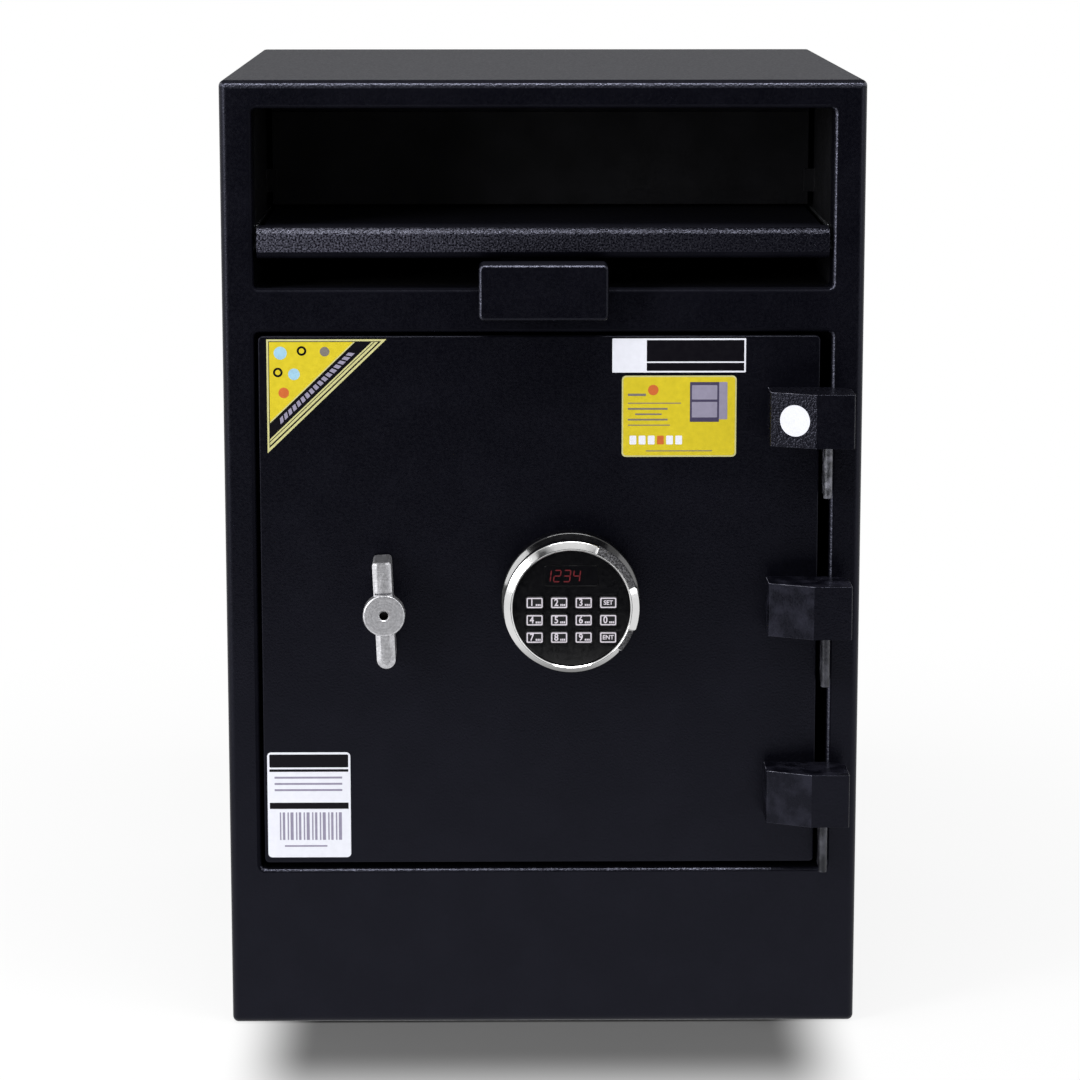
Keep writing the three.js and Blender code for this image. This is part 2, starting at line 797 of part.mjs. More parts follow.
// Keypad pieces
function keypadBase() {
  const stemEnd = panStart + doorInsulationThick;
  return turned([
    [0, -padBaseThick],
    [padBaseShoulder, -padBaseThick],
    [padBaseRadius - padBaseRound, -padBaseThick + padBaseFall],
    [padBaseRadius, -padBaseThick + padBaseFall + padBaseRound],
    [padBaseRadius, -seatGap],
    [padStemRadius, -seatGap],
    [padStemRadius, stemEnd],
    [0, stemEnd],
  ], keypadX, keypadZ);
}

function keypadHousing() {
  const back = padBaseThick + seatGap;
  return turned([
    [0, -back - padHousingThick],
    [padHousingRadius, -back - padHousingThick],
    [padHousingRadius, -back],
    [0, -back],
  ], keypadX, keypadZ);
}

function keypadBezel() {
  return turned([
    [bezelInner, -bezelBack],
    [bezelInner, -bezelFront + bezelRound],
    [bezelInner + bezelRound, -bezelFront],
    [bezelOuter, -bezelFront + bezelFall],
    [bezelOuter, -bezelBack],
    [bezelInner, -bezelBack],
  ], keypadX, keypadZ);
}

function keyPlaces() {
  const places = [];
  for (let row = 0; row < keyRows; row += 1) {
    for (let column = 0; column < keyColumns; column += 1) {
      places.push({
        name: `key_${row + 1}_${column + 1}`,
        x: keypadX + (column - (keyColumns - 1) / 2) * keyColumnPitch,
        z: keypadZ - keyGridDrop - (row - (keyRows - 1) / 2) * keyRowPitch,
      });
    }
  }
  return places;
}

function keyOutline({ x, z }, room) {
  const halfX = keyWidth / 2 + room;
  const halfZ = keyHeight / 2 + room;
  return [x - halfX, x + halfX, z - halfZ, z + halfZ, keyCorner];
}

function displayOutline(room) {
  const halfX = displayWidth / 2 + room;
  const middle = keypadZ + displayRise;
  const halfZ = displayHeight / 2 + room;
  return [keypadX - halfX, keypadX + halfX, middle - halfZ, middle + halfZ, keyCorner];
}

function keypadFace() {
  const disc = rodAlongY(bezelInner - seatGap, -faceFront, -bezelBack, keypadX, keypadZ, roundSteps);
  const windows = keyPlaces().map((place) => alongY(panel(...keyOutline(place, keyRoom)), -faceFront - overrun,
    -bezelBack + overrun));
  const screen = alongY(panel(...displayOutline(seatGap)), -faceFront - overrun, -bezelBack + overrun);
  return cut(disc, ...windows, screen);
}

function keypadDisplay() {
  return alongY(panel(...displayOutline(0)), -faceFront - displayStand, -bezelBack);
}

function keypadKey(place) {
  return alongY(panel(...keyOutline(place, 0)), -faceFront - keyStand, -keyBack);
}

// Body pieces
addPiece('outer_shell', outerShell(), finish.powderBlack());
addPiece('back_panel', backPanel(), finish.powderBlack());
addPiece('vault_liner', vaultLiner(), finish.satinBlack());
addPiece('chamber_liner', chamberLiner(), finish.satinBlack());
addPiece('drop_chute', dropChute(), finish.satinBlack());
addPiece('baffle_plate', bafflePlate(), finish.satinBlack());
addPiece('bolt_keeper', boltKeeper(), finish.steel());
for (const [name, slab] of Object.entries(insulationSlabs())) {
  addPiece(name, slab, finish.insulation());
}

// Deposit drawer and flap
addPiece('drawer_runner_left', drawerRunner(-1), finish.galvanised());
addPiece('drawer_runner_right', drawerRunner(1), finish.galvanised());
addPiece('drawer_tray', drawerTray(), finish.powderBlack());
addPiece('drawer_pull', drawerPull(), finish.powderBlack());
addPiece('flap_rod', flapRod(), finish.steel());
addPiece('deposit_flap', depositFlap(), finish.satinBlack());

// Door
addPiece('door_plate', doorPlate(), finish.powderBlack());
addPiece('door_pan', doorPan(), finish.satinBlack());
addPiece('door_insulation', doorInsulation(), finish.insulation());
addPiece('door_back_cover', doorBackCover(), finish.satinBlack());
hingeHeights.forEach((z, index) => {
  const place = ['upper', 'middle', 'lower'][index];
  addPiece(`hinge_cap_${place}`, hingeCap(z), finish.powderBlack());
  addPiece(`hinge_lug_${place}`, hingeLug(z), finish.powderBlack());
  addPiece(`hinge_pin_${place}`, hingePin(z), finish.steel());
});

// Handle and boltwork
addPiece('turning_handle', turningHandle(), finish.zinc());
addPiece('crank_spindle', crankSpindle(), finish.steel());
addPiece('bolt_bar', boltBar(), finish.galvanised());
addPiece('bolt_guide', boltGuide(), finish.galvanised());
boltHeights.forEach((z, index) => {
  addPiece(`locking_bolt_${index + 1}`, lockingBolt(z), finish.chrome());
});
addPiece('lock_case', lockCase(), finish.galvanised());

// Keypad
addPiece('keypad_base', keypadBase(), finish.glossBlack());
addPiece('keypad_housing', keypadHousing(), finish.glossBlack());
addPiece('keypad_bezel', keypadBezel(), finish.chrome());
addPiece('keypad_face', keypadFace(), finish.glossBlack());
addPiece('keypad_display', keypadDisplay(), finish.display());
for (const place of keyPlaces()) {
  addPiece(place.name, keypadKey(place), finish.keyPlastic());
}

export default safe;
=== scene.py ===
import json
import math

import bmesh
import bpy
from mathutils import Matrix, Vector


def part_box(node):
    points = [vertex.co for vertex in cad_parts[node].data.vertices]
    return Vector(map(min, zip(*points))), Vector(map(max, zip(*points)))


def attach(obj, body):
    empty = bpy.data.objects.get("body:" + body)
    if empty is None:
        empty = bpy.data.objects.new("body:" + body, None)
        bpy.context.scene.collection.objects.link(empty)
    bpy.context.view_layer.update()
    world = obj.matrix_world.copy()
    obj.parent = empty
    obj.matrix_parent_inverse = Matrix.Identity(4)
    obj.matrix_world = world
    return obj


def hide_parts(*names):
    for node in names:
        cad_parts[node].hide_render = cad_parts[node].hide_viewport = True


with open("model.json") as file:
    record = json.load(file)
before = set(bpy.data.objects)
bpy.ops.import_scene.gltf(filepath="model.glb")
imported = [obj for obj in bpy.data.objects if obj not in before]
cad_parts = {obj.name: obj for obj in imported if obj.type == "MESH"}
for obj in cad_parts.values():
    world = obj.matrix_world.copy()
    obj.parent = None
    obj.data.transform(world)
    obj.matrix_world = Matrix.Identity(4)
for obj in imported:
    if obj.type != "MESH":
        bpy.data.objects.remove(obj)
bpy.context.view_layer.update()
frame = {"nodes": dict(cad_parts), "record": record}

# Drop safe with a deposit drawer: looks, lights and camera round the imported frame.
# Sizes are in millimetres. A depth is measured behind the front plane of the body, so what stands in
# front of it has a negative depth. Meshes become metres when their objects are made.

MM = 0.001

# Steps of round shapes
CORNER_STEPS = 8
EDGE_STEPS = 5
TURN_STEPS = 144
ROD_STEPS = 48
BEVEL_STEPS = 3

# Edges sharper than this angle in degrees are bevelled and kept sharp in shading
SHARP_ANGLE = 35

# Sheets and clearances of the frame
SHEET = 3
LINER = 2
SEAT = 0.3
DOOR_LOW_GAP = 5.5

# Overrun of a cutting tool, radius of the small flat on the axis of a turned piece, and the least corner
OVERRUN = 1
CORE = 1
LEAST_CORNER = 0.3

# How far a normal leans towards a way before its face counts as facing that way
LEANING = 0.3


def span(node):
    """Lowest and highest corner of a CAD node in millimetres."""
    low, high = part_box(node)
    return low / MM, high / MM


SHELL_LOW, SHELL_HIGH = span("outer_shell")
CHAMBER_LOW, CHAMBER_HIGH = span("chamber_liner")
VAULT_HIGH = span("vault_liner")[1]
DOOR_LOW, DOOR_HIGH = span("door_plate")
TRAY_LOW, TRAY_HIGH = span("drawer_tray")
PULL_LOW, PULL_HIGH = span("drawer_pull")
HANDLE_LOW, HANDLE_HIGH = span("turning_handle")
BEZEL_LOW, BEZEL_HIGH = span("keypad_bezel")
FRONT = SHELL_LOW.y
OPEN_LEFT = CHAMBER_LOW.x + LINER
OPEN_RIGHT = CHAMBER_HIGH.x - LINER
RETURN_DEPTH = CHAMBER_LOW.y - SEAT - FRONT
PAD_X = (BEZEL_LOW.x + BEZEL_HIGH.x) / 2
PAD_Z = (BEZEL_LOW.z + BEZEL_HIGH.z) / 2


# Outlines

def rounded(corners, steps=CORNER_STEPS):
    """Points of a closed outline of (u, v, radius) corners, each rounded by an arc of its radius."""
    points = []
    for index, (u, v, radius) in enumerate(corners):
        corner = Vector((u, v))
        if radius == 0:
            points.append(corner)
            continue
        before = (Vector(corners[index - 1][:2]) - corner).normalized()
        after = (Vector(corners[(index + 1) % len(corners)][:2]) - corner).normalized()
        half = before.angle(after) / 2
        middle = corner + (before + after).normalized() * (radius / math.sin(half))
        start = corner + before * (radius / math.tan(half)) - middle
        end = corner + after * (radius / math.tan(half)) - middle
        points += [middle + between(start, end, step / steps) for step in range(steps + 1)]
    return points


def between(start, end, share):
    """A point on the arc from one radius vector to another of the same length."""
    sweep = start.angle(end)
    return (start * math.sin((1 - share) * sweep) + end * math.sin(share * sweep)) / math.sin(sweep)


def rectangle(left, right, low, high, corner):
    return rounded([(left, low, corner), (right, low, corner), (right, high, corner), (left, high, corner)])


def grown(box, by):
    """A (left, right, low, high, corner) rectangle grown by a margin on each side."""
    left, right, low, high, corner = box
    return left - by, right + by, low - by, high + by, max(corner + by, LEAST_CORNER)


def arc(u, v, radius, start, end, steps=CORNER_STEPS):
    """Points on a circle from one angle to another, in degrees."""
    angles = [math.radians(start + (end - start) * step / steps) for step in range(steps + 1)]
    return [Vector((u + radius * math.cos(a), v + radius * math.sin(a))) for a in angles]


# Outlines placed in the safe's frame

def facing(points, depth):
    """(x, z) points at a depth behind the front plane."""
    return [Vector((x, FRONT + depth, z)) for x, z in points]


def sideways(points, x):
    """(depth, z) points at a place across the width."""
    return [Vector((x, FRONT + depth, z)) for depth, z in points]


def level(points, z):
    """(x, depth) points at a height."""
    return [Vector((x, FRONT + depth, z)) for x, depth in points]


def edge_round(radius):
    """(growth, depth) pairs from the flat face round an edge to the side."""
    turns = [math.pi / 2 * step / EDGE_STEPS for step in range(EDGE_STEPS + 1)]
    return [(radius * (math.sin(a) - 1), radius * (1 - math.cos(a))) for a in turns]


# Meshes

def loft(bm, loops, wrap=False, material=0, edge_bands=0):
    """Joins loops by quads and gives the rings of vertices. The first bands take the next material."""
    rings = [[bm.verts.new(point) for point in loop] for loop in loops]
    pairs = list(zip(rings, rings[1:])) + ([(rings[-1], rings[0])] if wrap else [])
    for band, (near, far) in enumerate(pairs):
        for index, corner in enumerate(near):
            after = (index + 1) % len(near)
            face = bm.faces.new((corner, near[after], far[after], far[index]))
            face.material_index = material + (band < edge_bands)
    return rings


def body_of_loops(loops, wrap=False, bm=None, material=0, edge_bands=0):
    """A closed body through loops, in a new mesh or added to one."""
    bm = bm or bmesh.new()
    rings = loft(bm, loops, wrap, material, edge_bands)
    if not wrap:
        for ring in (rings[0], rings[-1]):
            bm.faces.new(ring).material_index = material
    return bm


def plate(box, near, far, radius, bm=None, edge_bands=0):
    """A plate in the front plane with a rounded front edge."""
    loops = [facing(rectangle(*grown(box, growth)), near + depth) for growth, depth in edge_round(radius)]
    loops.append(facing(rectangle(*box), far))
    return body_of_loops(loops, bm=bm, edge_bands=edge_bands)


def slab(left, right, near, far, low, high, bm=None):
    corners = [Vector((x, z)) for x, z in ((left, low), (right, low), (right, high), (left, high))]
    return body_of_loops([facing(corners, near), facing(corners, far)], bm=bm)


def turned(profile, x, z, reach=None, steps=TURN_STEPS):
    """Rings of (radius, depth) points about an axis square to the front plane.

    Where the radius changes round a ring, reach gives it for a radius, depth and angle in degrees."""
    rings = []
    for radius, depth in profile:
        ring = []
        for step in range(steps):
            angle = 2 * math.pi * step / steps
            out = reach(radius, depth, math.degrees(angle)) if reach else radius
            ring.append(Vector((x + out * math.cos(angle), FRONT + depth, z + out * math.sin(angle))))
        rings.append(ring)
    return rings


def rod(radius, start, end):
    """A closed round bar between two points."""
    axis = (end - start).normalized()
    across = axis.orthogonal().normalized()
    other = axis.cross(across)
    ring = [radius * (across * math.cos(a) + other * math.sin(a))
            for a in (2 * math.pi * step / ROD_STEPS for step in range(ROD_STEPS))]
    return body_of_loops([[start + point for point in ring], [end + point for point in ring]])


def as_object(bm, name):
    bmesh.ops.recalc_face_normals(bm, faces=bm.faces)
    mesh = bpy.data.meshes.new(name)
    bm.to_mesh(mesh)
    bm.free()
    piece = bpy.data.objects.new(name, mesh)
    bpy.context.scene.collection.objects.link(piece)
    return piece


def combined(operation, first, *others):
    """Closed meshes joined (UNION) or cut (DIFFERENCE) by exact booleans, as one mesh."""
    base = as_object(first, "base")
    tools = [as_object(other, "tool") for other in others]
    for tool in tools:
        step = base.modifiers.new("step", "BOOLEAN")
        step.operation = operation
        step.solver = "EXACT"
        step.object = tool
    graph = bpy.context.evaluated_depsgraph_get()
    mesh = bpy.data.meshes.new_from_object(base.evaluated_get(graph))
    result = bmesh.new()
    result.from_mesh(mesh)
    for scrap in [base, *tools]:
        bpy.data.objects.remove(scrap)
    return result


def smooth(piece, degrees):
    """Smooth shading up to an angle, with flat faces kept flat beside their rounded edges."""
    piece.data.polygons.foreach_set("use_smooth", [True] * len(piece.data.polygons))
    piece.data.set_sharp_from_angle(angle=math.radians(degrees))
    weighted = piece.modifiers.new("weighted", "WEIGHTED_NORMAL")
    weighted.keep_sharp = True


def bevelled(piece, width, segments=BEVEL_STEPS, degrees=SHARP_ANGLE):
    """Rounds the edges of a piece. Where it has a second material, the edges take that."""
    bevel = piece.modifiers.new("edges", "BEVEL")
    bevel.material = 1 if len(piece.data.materials) > 1 else -1
    bevel.width = width * MM
    bevel.segments = segments
    bevel.limit_method = "ANGLE"
    bevel.angle_limit = math.radians(degrees)


def lit_edge(polygon):
    """Whether a face belongs to an edge that faces up or left, towards the lamps, where it catches their
    light.
    """
    return polygon.material_index == 1 and (polygon.normal.z > LEANING or polygon.normal.x < -LEANING)


def paint(piece, material_of):
    """Applies the modifiers and gives each face the material number that suits its place."""
    graph = bpy.context.evaluated_depsgraph_get()
    piece.data = bpy.data.meshes.new_from_object(piece.evaluated_get(graph))
    piece.modifiers.clear()
    for polygon in piece.data.polygons:
        polygon.material_index = material_of(polygon)


def make(name, bm, body, materials, replaces=(), bevel=0, material_of=None):
    """Turns a mesh in millimetres into a piece that rides on a body."""
    bmesh.ops.scale(bm, vec=(MM, MM, MM), verts=bm.verts)
    piece = as_object(bm, name)
    for material in materials if isinstance(materials, (list, tuple)) else [materials]:
        piece.data.materials.append(material)
    if bevel:
        bevelled(piece, bevel)
    if material_of:
        paint(piece, material_of)
    smooth(piece, SHARP_ANGLE)
    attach(piece, body)
    if replaces:
        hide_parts(*replaces)


# Shader nodes

def add_node(tree, kind, inputs=None, **settings):
    """A shader node with its settings. Each input is linked to a socket or set to a value."""
    made = tree.nodes.new(kind)
    for setting, value in settings.items():
        setattr(made, setting, value)
    for socket, value in (inputs or {}).items():
        if isinstance(value, bpy.types.NodeSocket):
            tree.links.new(value, made.inputs[socket])
        else:
            made.inputs[socket].default_value = value
    return made


def add_math(tree, operation, first, second=0.0):
    return add_node(tree, "ShaderNodeMath", {0: first, 1: second}, operation=operation).outputs[0]


# Materials

class Finish:
    """A Principled material with short calls for its procedural nodes."""

    def __init__(self, name, sockets):
        self.material = bpy.data.materials.new(name)
        self.material.use_nodes = True
        self.tree = self.material.node_tree
        self.shader = self.tree.nodes["Principled BSDF"]
        for socket, value in sockets.items():
            self.shader.inputs[socket].default_value = value
        self.place = self.node("ShaderNodeTexCoord").outputs["Object"]
        self.normal = None

    def node(self, kind, inputs=None, **settings):
        return add_node(self.tree, kind, inputs, **settings)

    def axis(self, vector, name):
        """One of the X, Y and Z parts of a vector."""
        return self.node("ShaderNodeSeparateXYZ", {0: vector}).outputs[name]

    def stretched(self, x, y, z):
        """Coordinates scaled on each axis, so that a pattern is drawn out along the small ones."""
        return self.node("ShaderNodeMapping", {"Vector": self.place, "Scale": (x, y, z)}).outputs[0]

    def noise(self, size, detail=3, place=None):
        """Noise with features of a size in millimetres."""
        inputs = {"Vector": place or self.place, "Scale": 1 / (size * MM), "Detail": detail}
        return self.node("ShaderNodeTexNoise", inputs).outputs["Fac"]

    def cells(self, size):
        """A random shade for each cell of a size in millimetres."""
        inputs = {"Vector": self.place, "Scale": 1 / (size * MM)}
        return self.node("ShaderNodeTexVoronoi", inputs).outputs["Color"]

    def remap(self, value, low, high, start=0.3, end=0.7):
        """A value of start to end brought to low to high. Most of a noise lies between 0.3 and 0.7."""
        inputs = {"Value": value, "From Min": start, "From Max": end, "To Min": low, "To Max": high}
        return self.node("ShaderNodeMapRange", inputs).outputs[0]

    def math(self, operation, first, second):
        return add_math(self.tree, operation, first, second)

    def blend(self, factor, first, second):
        """A colour between two colours, as linear red, green and blue."""
        mix = self.node("ShaderNodeMix", data_type="RGBA")
        self.tree.links.new(factor, mix.inputs["Factor"])
        for socket, colour in (("A", first), ("B", second)):
            target = [s for s in mix.inputs if s.name == socket and s.type == "RGBA"][0]
            target.default_value = (*colour, 1)
        return [s for s in mix.outputs if s.type == "RGBA"][0]

    def drive(self, socket, value):
        self.tree.links.new(value, self.shader.inputs[socket])

    def colour(self, pattern, first, second):
        """Sets the base colour between two colours by a noise."""
        self.drive("Base Color", self.blend(self.remap(pattern, 0, 1), first, second))

    def bump(self, height, strength, depth):
        """Adds relief of a depth in millimetres on top of the relief so far."""
        inputs = {"Height": height, "Strength": strength, "Distance": depth * MM}
        if self.normal:
            inputs["Normal"] = self.normal
        self.normal = self.node("ShaderNodeBump", inputs).outputs[0]
        self.drive("Normal", self.normal)


def powder_coat(name="powder_coat", specular=0.2, rough=0.28, relief=0.3, dust=0.3, depth=0.5, patches=40,
                light=(0.0022, 0.0022, 0.0042), tint=(0.74, 0.76, 1, 1), glints_fade_from=None):
    """Black powder coat with a fine pebbled relief, paler in patches and duller on what faces up.

    Small pale patches are painted glints. Given a range across the width, they fade from its first end
    towards the second, a painted falloff of the light."""
    coat = Finish(name, {"Specular IOR Level": specular, "Specular Tint": tint})
    paleness = coat.remap(coat.noise(patches, 3), 0, 1, 0.42, 0.66)
    # Painted falloff of the light: the pale patches fade across the width
    if glints_fade_from:
        across = coat.remap(coat.axis(coat.place, "X"), 1, 0, *(edge * MM for edge in glints_fade_from))
        paleness = coat.math("MULTIPLY", paleness, coat.math("POWER", across, 2))
    coat.drive("Base Color", coat.blend(paleness, (0.0014, 0.0014, 0.003), light))
    upward = coat.axis(coat.node("ShaderNodeTexCoord").outputs["Normal"], "Z")
    grain = coat.remap(coat.noise(2.2, 2), rough, rough + 0.14)
    coat.drive("Roughness", coat.math("ADD", grain, coat.remap(upward, 0, dust, 0.7, 0.95)))
    coat.bump(coat.noise(1.8, 1), relief, depth)
    coat.bump(coat.noise(160, 1), 0.25, 1.2)
    return coat.material


def satin_paint():
    """Plain satin black paint on the inner sheets."""
    satin = Finish("satin_paint", {"Specular IOR Level": 0.25})
    satin.colour(satin.noise(30, 4), (0.004, 0.004, 0.005), (0.008, 0.008, 0.010))
    satin.drive("Roughness", satin.remap(satin.noise(3, 3), 0.38, 0.55))
    satin.bump(satin.noise(1.6, 3), 0.3, 0.08)
    return satin.material


def plated_zinc():
    """Zinc plated sheet with faint spangle."""
    zinc = Finish("plated_zinc", {"Metallic": 1.0})
    shade = zinc.remap(zinc.cells(9), 0, 1, 0, 1)
    zinc.drive("Base Color", zinc.blend(shade, (0.24, 0.25, 0.27), (0.36, 0.37, 0.39)))
    zinc.drive("Roughness", zinc.remap(zinc.noise(12, 4), 0.34, 0.5))
    zinc.bump(zinc.noise(1.2, 3), 0.2, 0.05)
    return zinc.material


def machined_steel():
    """Steel with fine marks drawn out along its height."""
    steel = Finish("machined_steel", {"Metallic": 1.0})
    streaks = steel.noise(1.0, 3, steel.stretched(1, 1, 0.06))
    steel.colour(streaks, (0.36, 0.37, 0.38), (0.46, 0.47, 0.48))
    steel.drive("Roughness", steel.remap(streaks, 0.24, 0.38))
    steel.bump(streaks, 0.15, 0.05)
    return steel.material


def bright_chrome(name="bright_chrome", shaded_tone=0.62, shade_below=(-2, -1)):
    """Chrome, darker below a range of heights in millimetres as a painted reflection of the floor's shade. By
    default the range lies under the floor.
    """
    chrome = Finish(name, {"Metallic": 1.0})
    # Painted reflection of the floor's shade: darker below the range of heights, with a random tone on top
    polish_and_shade = chrome.remap(chrome.axis(chrome.place, "Z"), 0, 1, *(edge * MM for edge in shade_below))
    polish_and_shade = chrome.math("MULTIPLY", polish_and_shade, chrome.remap(chrome.noise(25, 3), 0.88, 1))
    chrome.drive("Base Color", chrome.blend(polish_and_shade, (shaded_tone, shaded_tone, shaded_tone), (0.72, 0.72, 0.72)))
    chrome.drive("Roughness", chrome.remap(chrome.noise(6, 4), 0.07, 0.14))
    chrome.bump(chrome.noise(8, 2), 0.08, 0.1)
    return chrome.material


def satin_casting():
    """Satin plated casting, turned in circles round the handle's hub and brushed along its wings."""
    cast = Finish("satin_casting", {"Metallic": 1.0})
    centre = (HANDLE_LOW + HANDLE_HIGH) / 2 * MM
    local = cast.node("ShaderNodeVectorMath", {0: cast.place, 1: centre}, operation="SUBTRACT").outputs[0]
    axes = cast.node("ShaderNodeSeparateXYZ", {0: local}).outputs
    radius = cast.math("POWER", cast.math("ADD", cast.math("MULTIPLY", axes["X"], axes["X"]),
                                          cast.math("MULTIPLY", axes["Z"], axes["Z"])), 0.5)
    rings = cast.node("ShaderNodeCombineXYZ", {"X": radius}).outputs[0]
    turning = cast.noise(1.6, 3, rings)
    grain = cast.noise(2.2, 3)
    cast.colour(grain, (0.46, 0.46, 0.48), (0.68, 0.68, 0.71))
    cast.drive("Roughness", cast.remap(turning, 0.36, 0.54))
    cast.bump(turning, 0.6, 0.2)
    cast.bump(grain, 0.15, 0.06)
    return cast.material


def gloss_plastic(name="gloss_plastic", rough=0.1):
    """Glossy black plastic with a little dust."""
    gloss = Finish(name, {"Specular IOR Level": 0.5, "Coat Weight": 0.3, "Coat Roughness": 0.05})
    dust = gloss.noise(3, 5)
    gloss.colour(dust, (0.0020, 0.0020, 0.0026), (0.0036, 0.0036, 0.0044))
    gloss.drive("Roughness", gloss.remap(dust, rough, rough + 0.06))
    gloss.bump(gloss.noise(20, 2), 0.05, 0.2)
    return gloss.material


def key_plastic():
    """Matte black key caps."""
    rubber = Finish("key_plastic", {"Specular IOR Level": 0.35})
    grain = rubber.noise(0.6, 3)
    rubber.colour(grain, (0.004, 0.004, 0.005), (0.007, 0.007, 0.009))
    rubber.drive("Roughness", rubber.remap(grain, 0.4, 0.55))
    rubber.bump(grain, 0.2, 0.04)
    return rubber.material


def cast_insulation():
    """Light grey cast fire insulation."""
    cast = Finish("cast_insulation", {"Specular IOR Level": 0.2})
    grain = cast.noise(2.5, 6)
    cast.colour(grain, (0.42, 0.39, 0.34), (0.54, 0.51, 0.46))
    cast.drive("Roughness", cast.remap(grain, 0.8, 0.98))
    cast.bump(grain, 0.6, 0.6)
    return cast.material


def print_ink(name, colour, rough=0.4, variation=0.12, specular=0.4):
    """A printed or vinyl surface of one ink, with slight unevenness."""
    ink = Finish(name, {"Specular IOR Level": specular})
    darker = tuple(c * (1 - variation) for c in colour)
    mottle = ink.noise(5, 4)
    ink.colour(mottle, darker, colour)
    ink.drive("Roughness", ink.remap(mottle, rough, rough + 0.12))
    ink.bump(ink.noise(1.5, 2), 0.1, 0.03)
    return ink.material


def glowing_digit():
    """Dim red segments of the display."""
    digit = Finish("display_digit", {"Roughness": 0.3, "Emission Color": (0.35, 0.012, 0.025, 1),
                                     "Emission Strength": 0.12})
    digit.colour(digit.noise(2, 2), (0.06, 0.003, 0.005), (0.09, 0.004, 0.007))
    return digit.material


POWDER = powder_coat()
# Paler coats for the hinge caps' faces towards the lamps: speckles of painted glints on the upper cap, and an
# even painted light on the others
POWDER_SLANT_GLINTS = powder_coat("powder_slant_glints", rough=0.15, relief=0.8, dust=0.06, depth=0.8, patches=1.8,
                            light=(0.009, 0.009, 0.013))
POWDER_SLANT_LIT = powder_coat("powder_slant_lit", rough=0.2, dust=0.06, depth=0.6, patches=14,
                          light=(0.011, 0.011, 0.017))
POWDER_EDGE = powder_coat("powder_edge", specular=0.9, rough=0.3, relief=1.0, dust=0)
# Grey coats of the hinge fins, whose paleness paints the highlight of their round noses, brighter on the
# upper fin than on the lower ones
FIN_COAT = {"rough": 0.38, "relief": 0.8, "dust": 0, "tint": (0.9, 0.92, 1, 1)}
POWDER_BRIGHT_FIN = powder_coat("powder_bright_fin", specular=1.0, patches=6, light=(0.15, 0.15, 0.18), **FIN_COAT)
POWDER_DIM_FIN = powder_coat("powder_dim_fin", specular=0.5, patches=12, light=(0.05, 0.05, 0.062), **FIN_COAT)
# Very pale coat that paints the highlight along the top edges of the hinge caps
POWDER_EDGE_HIGHLIGHT = powder_coat("powder_edge_highlight", specular=0.9, rough=0.3, relief=0.8, dust=0, patches=8,
                             light=(0.36, 0.36, 0.44), tint=(0.9, 0.9, 1, 1))
POWDER_DULL = powder_coat("powder_dull", specular=0.07, rough=0.45)
POWDER_GRIP = powder_coat("powder_grip", specular=0.4, rough=0.35, relief=1.0, dust=0, patches=1.4,
                          light=(0.13, 0.13, 0.14), tint=(1, 1, 1, 1))
# Coats of the tray's lip: pale speckles paint glints that fade to the right, and the paler edge coat paints
# the highlight along its rounded top
LIP_GLINTS = {"relief": 1.0, "depth": 1.1, "patches": 1.5, "glints_fade_from": (TRAY_LOW.x - 40, TRAY_HIGH.x + 120)}
LIP_FACE_GLINTS = powder_coat("tray_face_glints", specular=0.16, rough=0.13, dust=0.06, light=(0.105, 0.105, 0.138),
                       **LIP_GLINTS)
LIP_EDGE_HIGHLIGHT = powder_coat("tray_edge_highlight", specular=0.42, rough=0.2, dust=0, light=(0.16, 0.16, 0.2), **LIP_GLINTS)
SATIN = satin_paint()
ZINC = plated_zinc()
STEEL = machined_steel()
CHROME = bright_chrome()
# The ring's chrome is darker on its low part, a painted reflection of the floor's contact shade
RING_CHROME = bright_chrome("ring_chrome", shaded_tone=0.24, shade_below=(PAD_Z - 52, PAD_Z - 26))
CASTING = satin_casting()
GLOSS = gloss_plastic()
WINDOW = gloss_plastic("display_window", 0.05)
KEY = key_plastic()
INSULATION = cast_insulation()
PALE_PRINT = print_ink("pale_print", (0.62, 0.58, 0.64))
YELLOW = print_ink("yellow_vinyl", (0.60, 0.48, 0.006))
PALE_YELLOW = print_ink("pale_yellow_print", (0.52, 0.50, 0.22))
BLACK_INK = print_ink("black_print", (0.004, 0.0035, 0.006), rough=0.3, specular=0.12)
WHITE_PAPER = print_ink("white_vinyl", (0.72, 0.73, 0.80), rough=0.45, variation=0.05)
GREY_INK = print_ink("grey_print", (0.17, 0.15, 0.13), rough=0.5)
LILAC_INK = print_ink("lilac_print", (0.26, 0.24, 0.33))
PLUM_INK = print_ink("plum_print", (0.05, 0.04, 0.09))
BLUE_INK = print_ink("blue_print", (0.30, 0.52, 0.66))
RED_INK = print_ink("red_print", (0.55, 0.12, 0.02))
DIGIT = glowing_digit()


# Body

SHELL_CORNER = 5
FACE_ROUND = 6.5
OPENING_ROUND = 3.6
OPENING_CORNER = 4
SHELL_DEPTH = SHELL_HIGH.y - SHELL_LOW.y
FACE_BOX = (SHELL_LOW.x, SHELL_HIGH.x, SHELL_LOW.z, SHELL_HIGH.z, SHELL_CORNER)
NICHE = (OPEN_LEFT, OPEN_RIGHT, CHAMBER_LOW.z + LINER, CHAMBER_HIGH.z - LINER, OPENING_CORNER)
DOORWAY = (OPEN_LEFT, OPEN_RIGHT, DOOR_LOW.z - DOOR_LOW_GAP, VAULT_HIGH.z - LINER, OPENING_CORNER)

# The bright part of the top front edge, by how far its normals lean upwards
BRIGHT_FROM = 0.05
BRIGHT_TO = 0.6


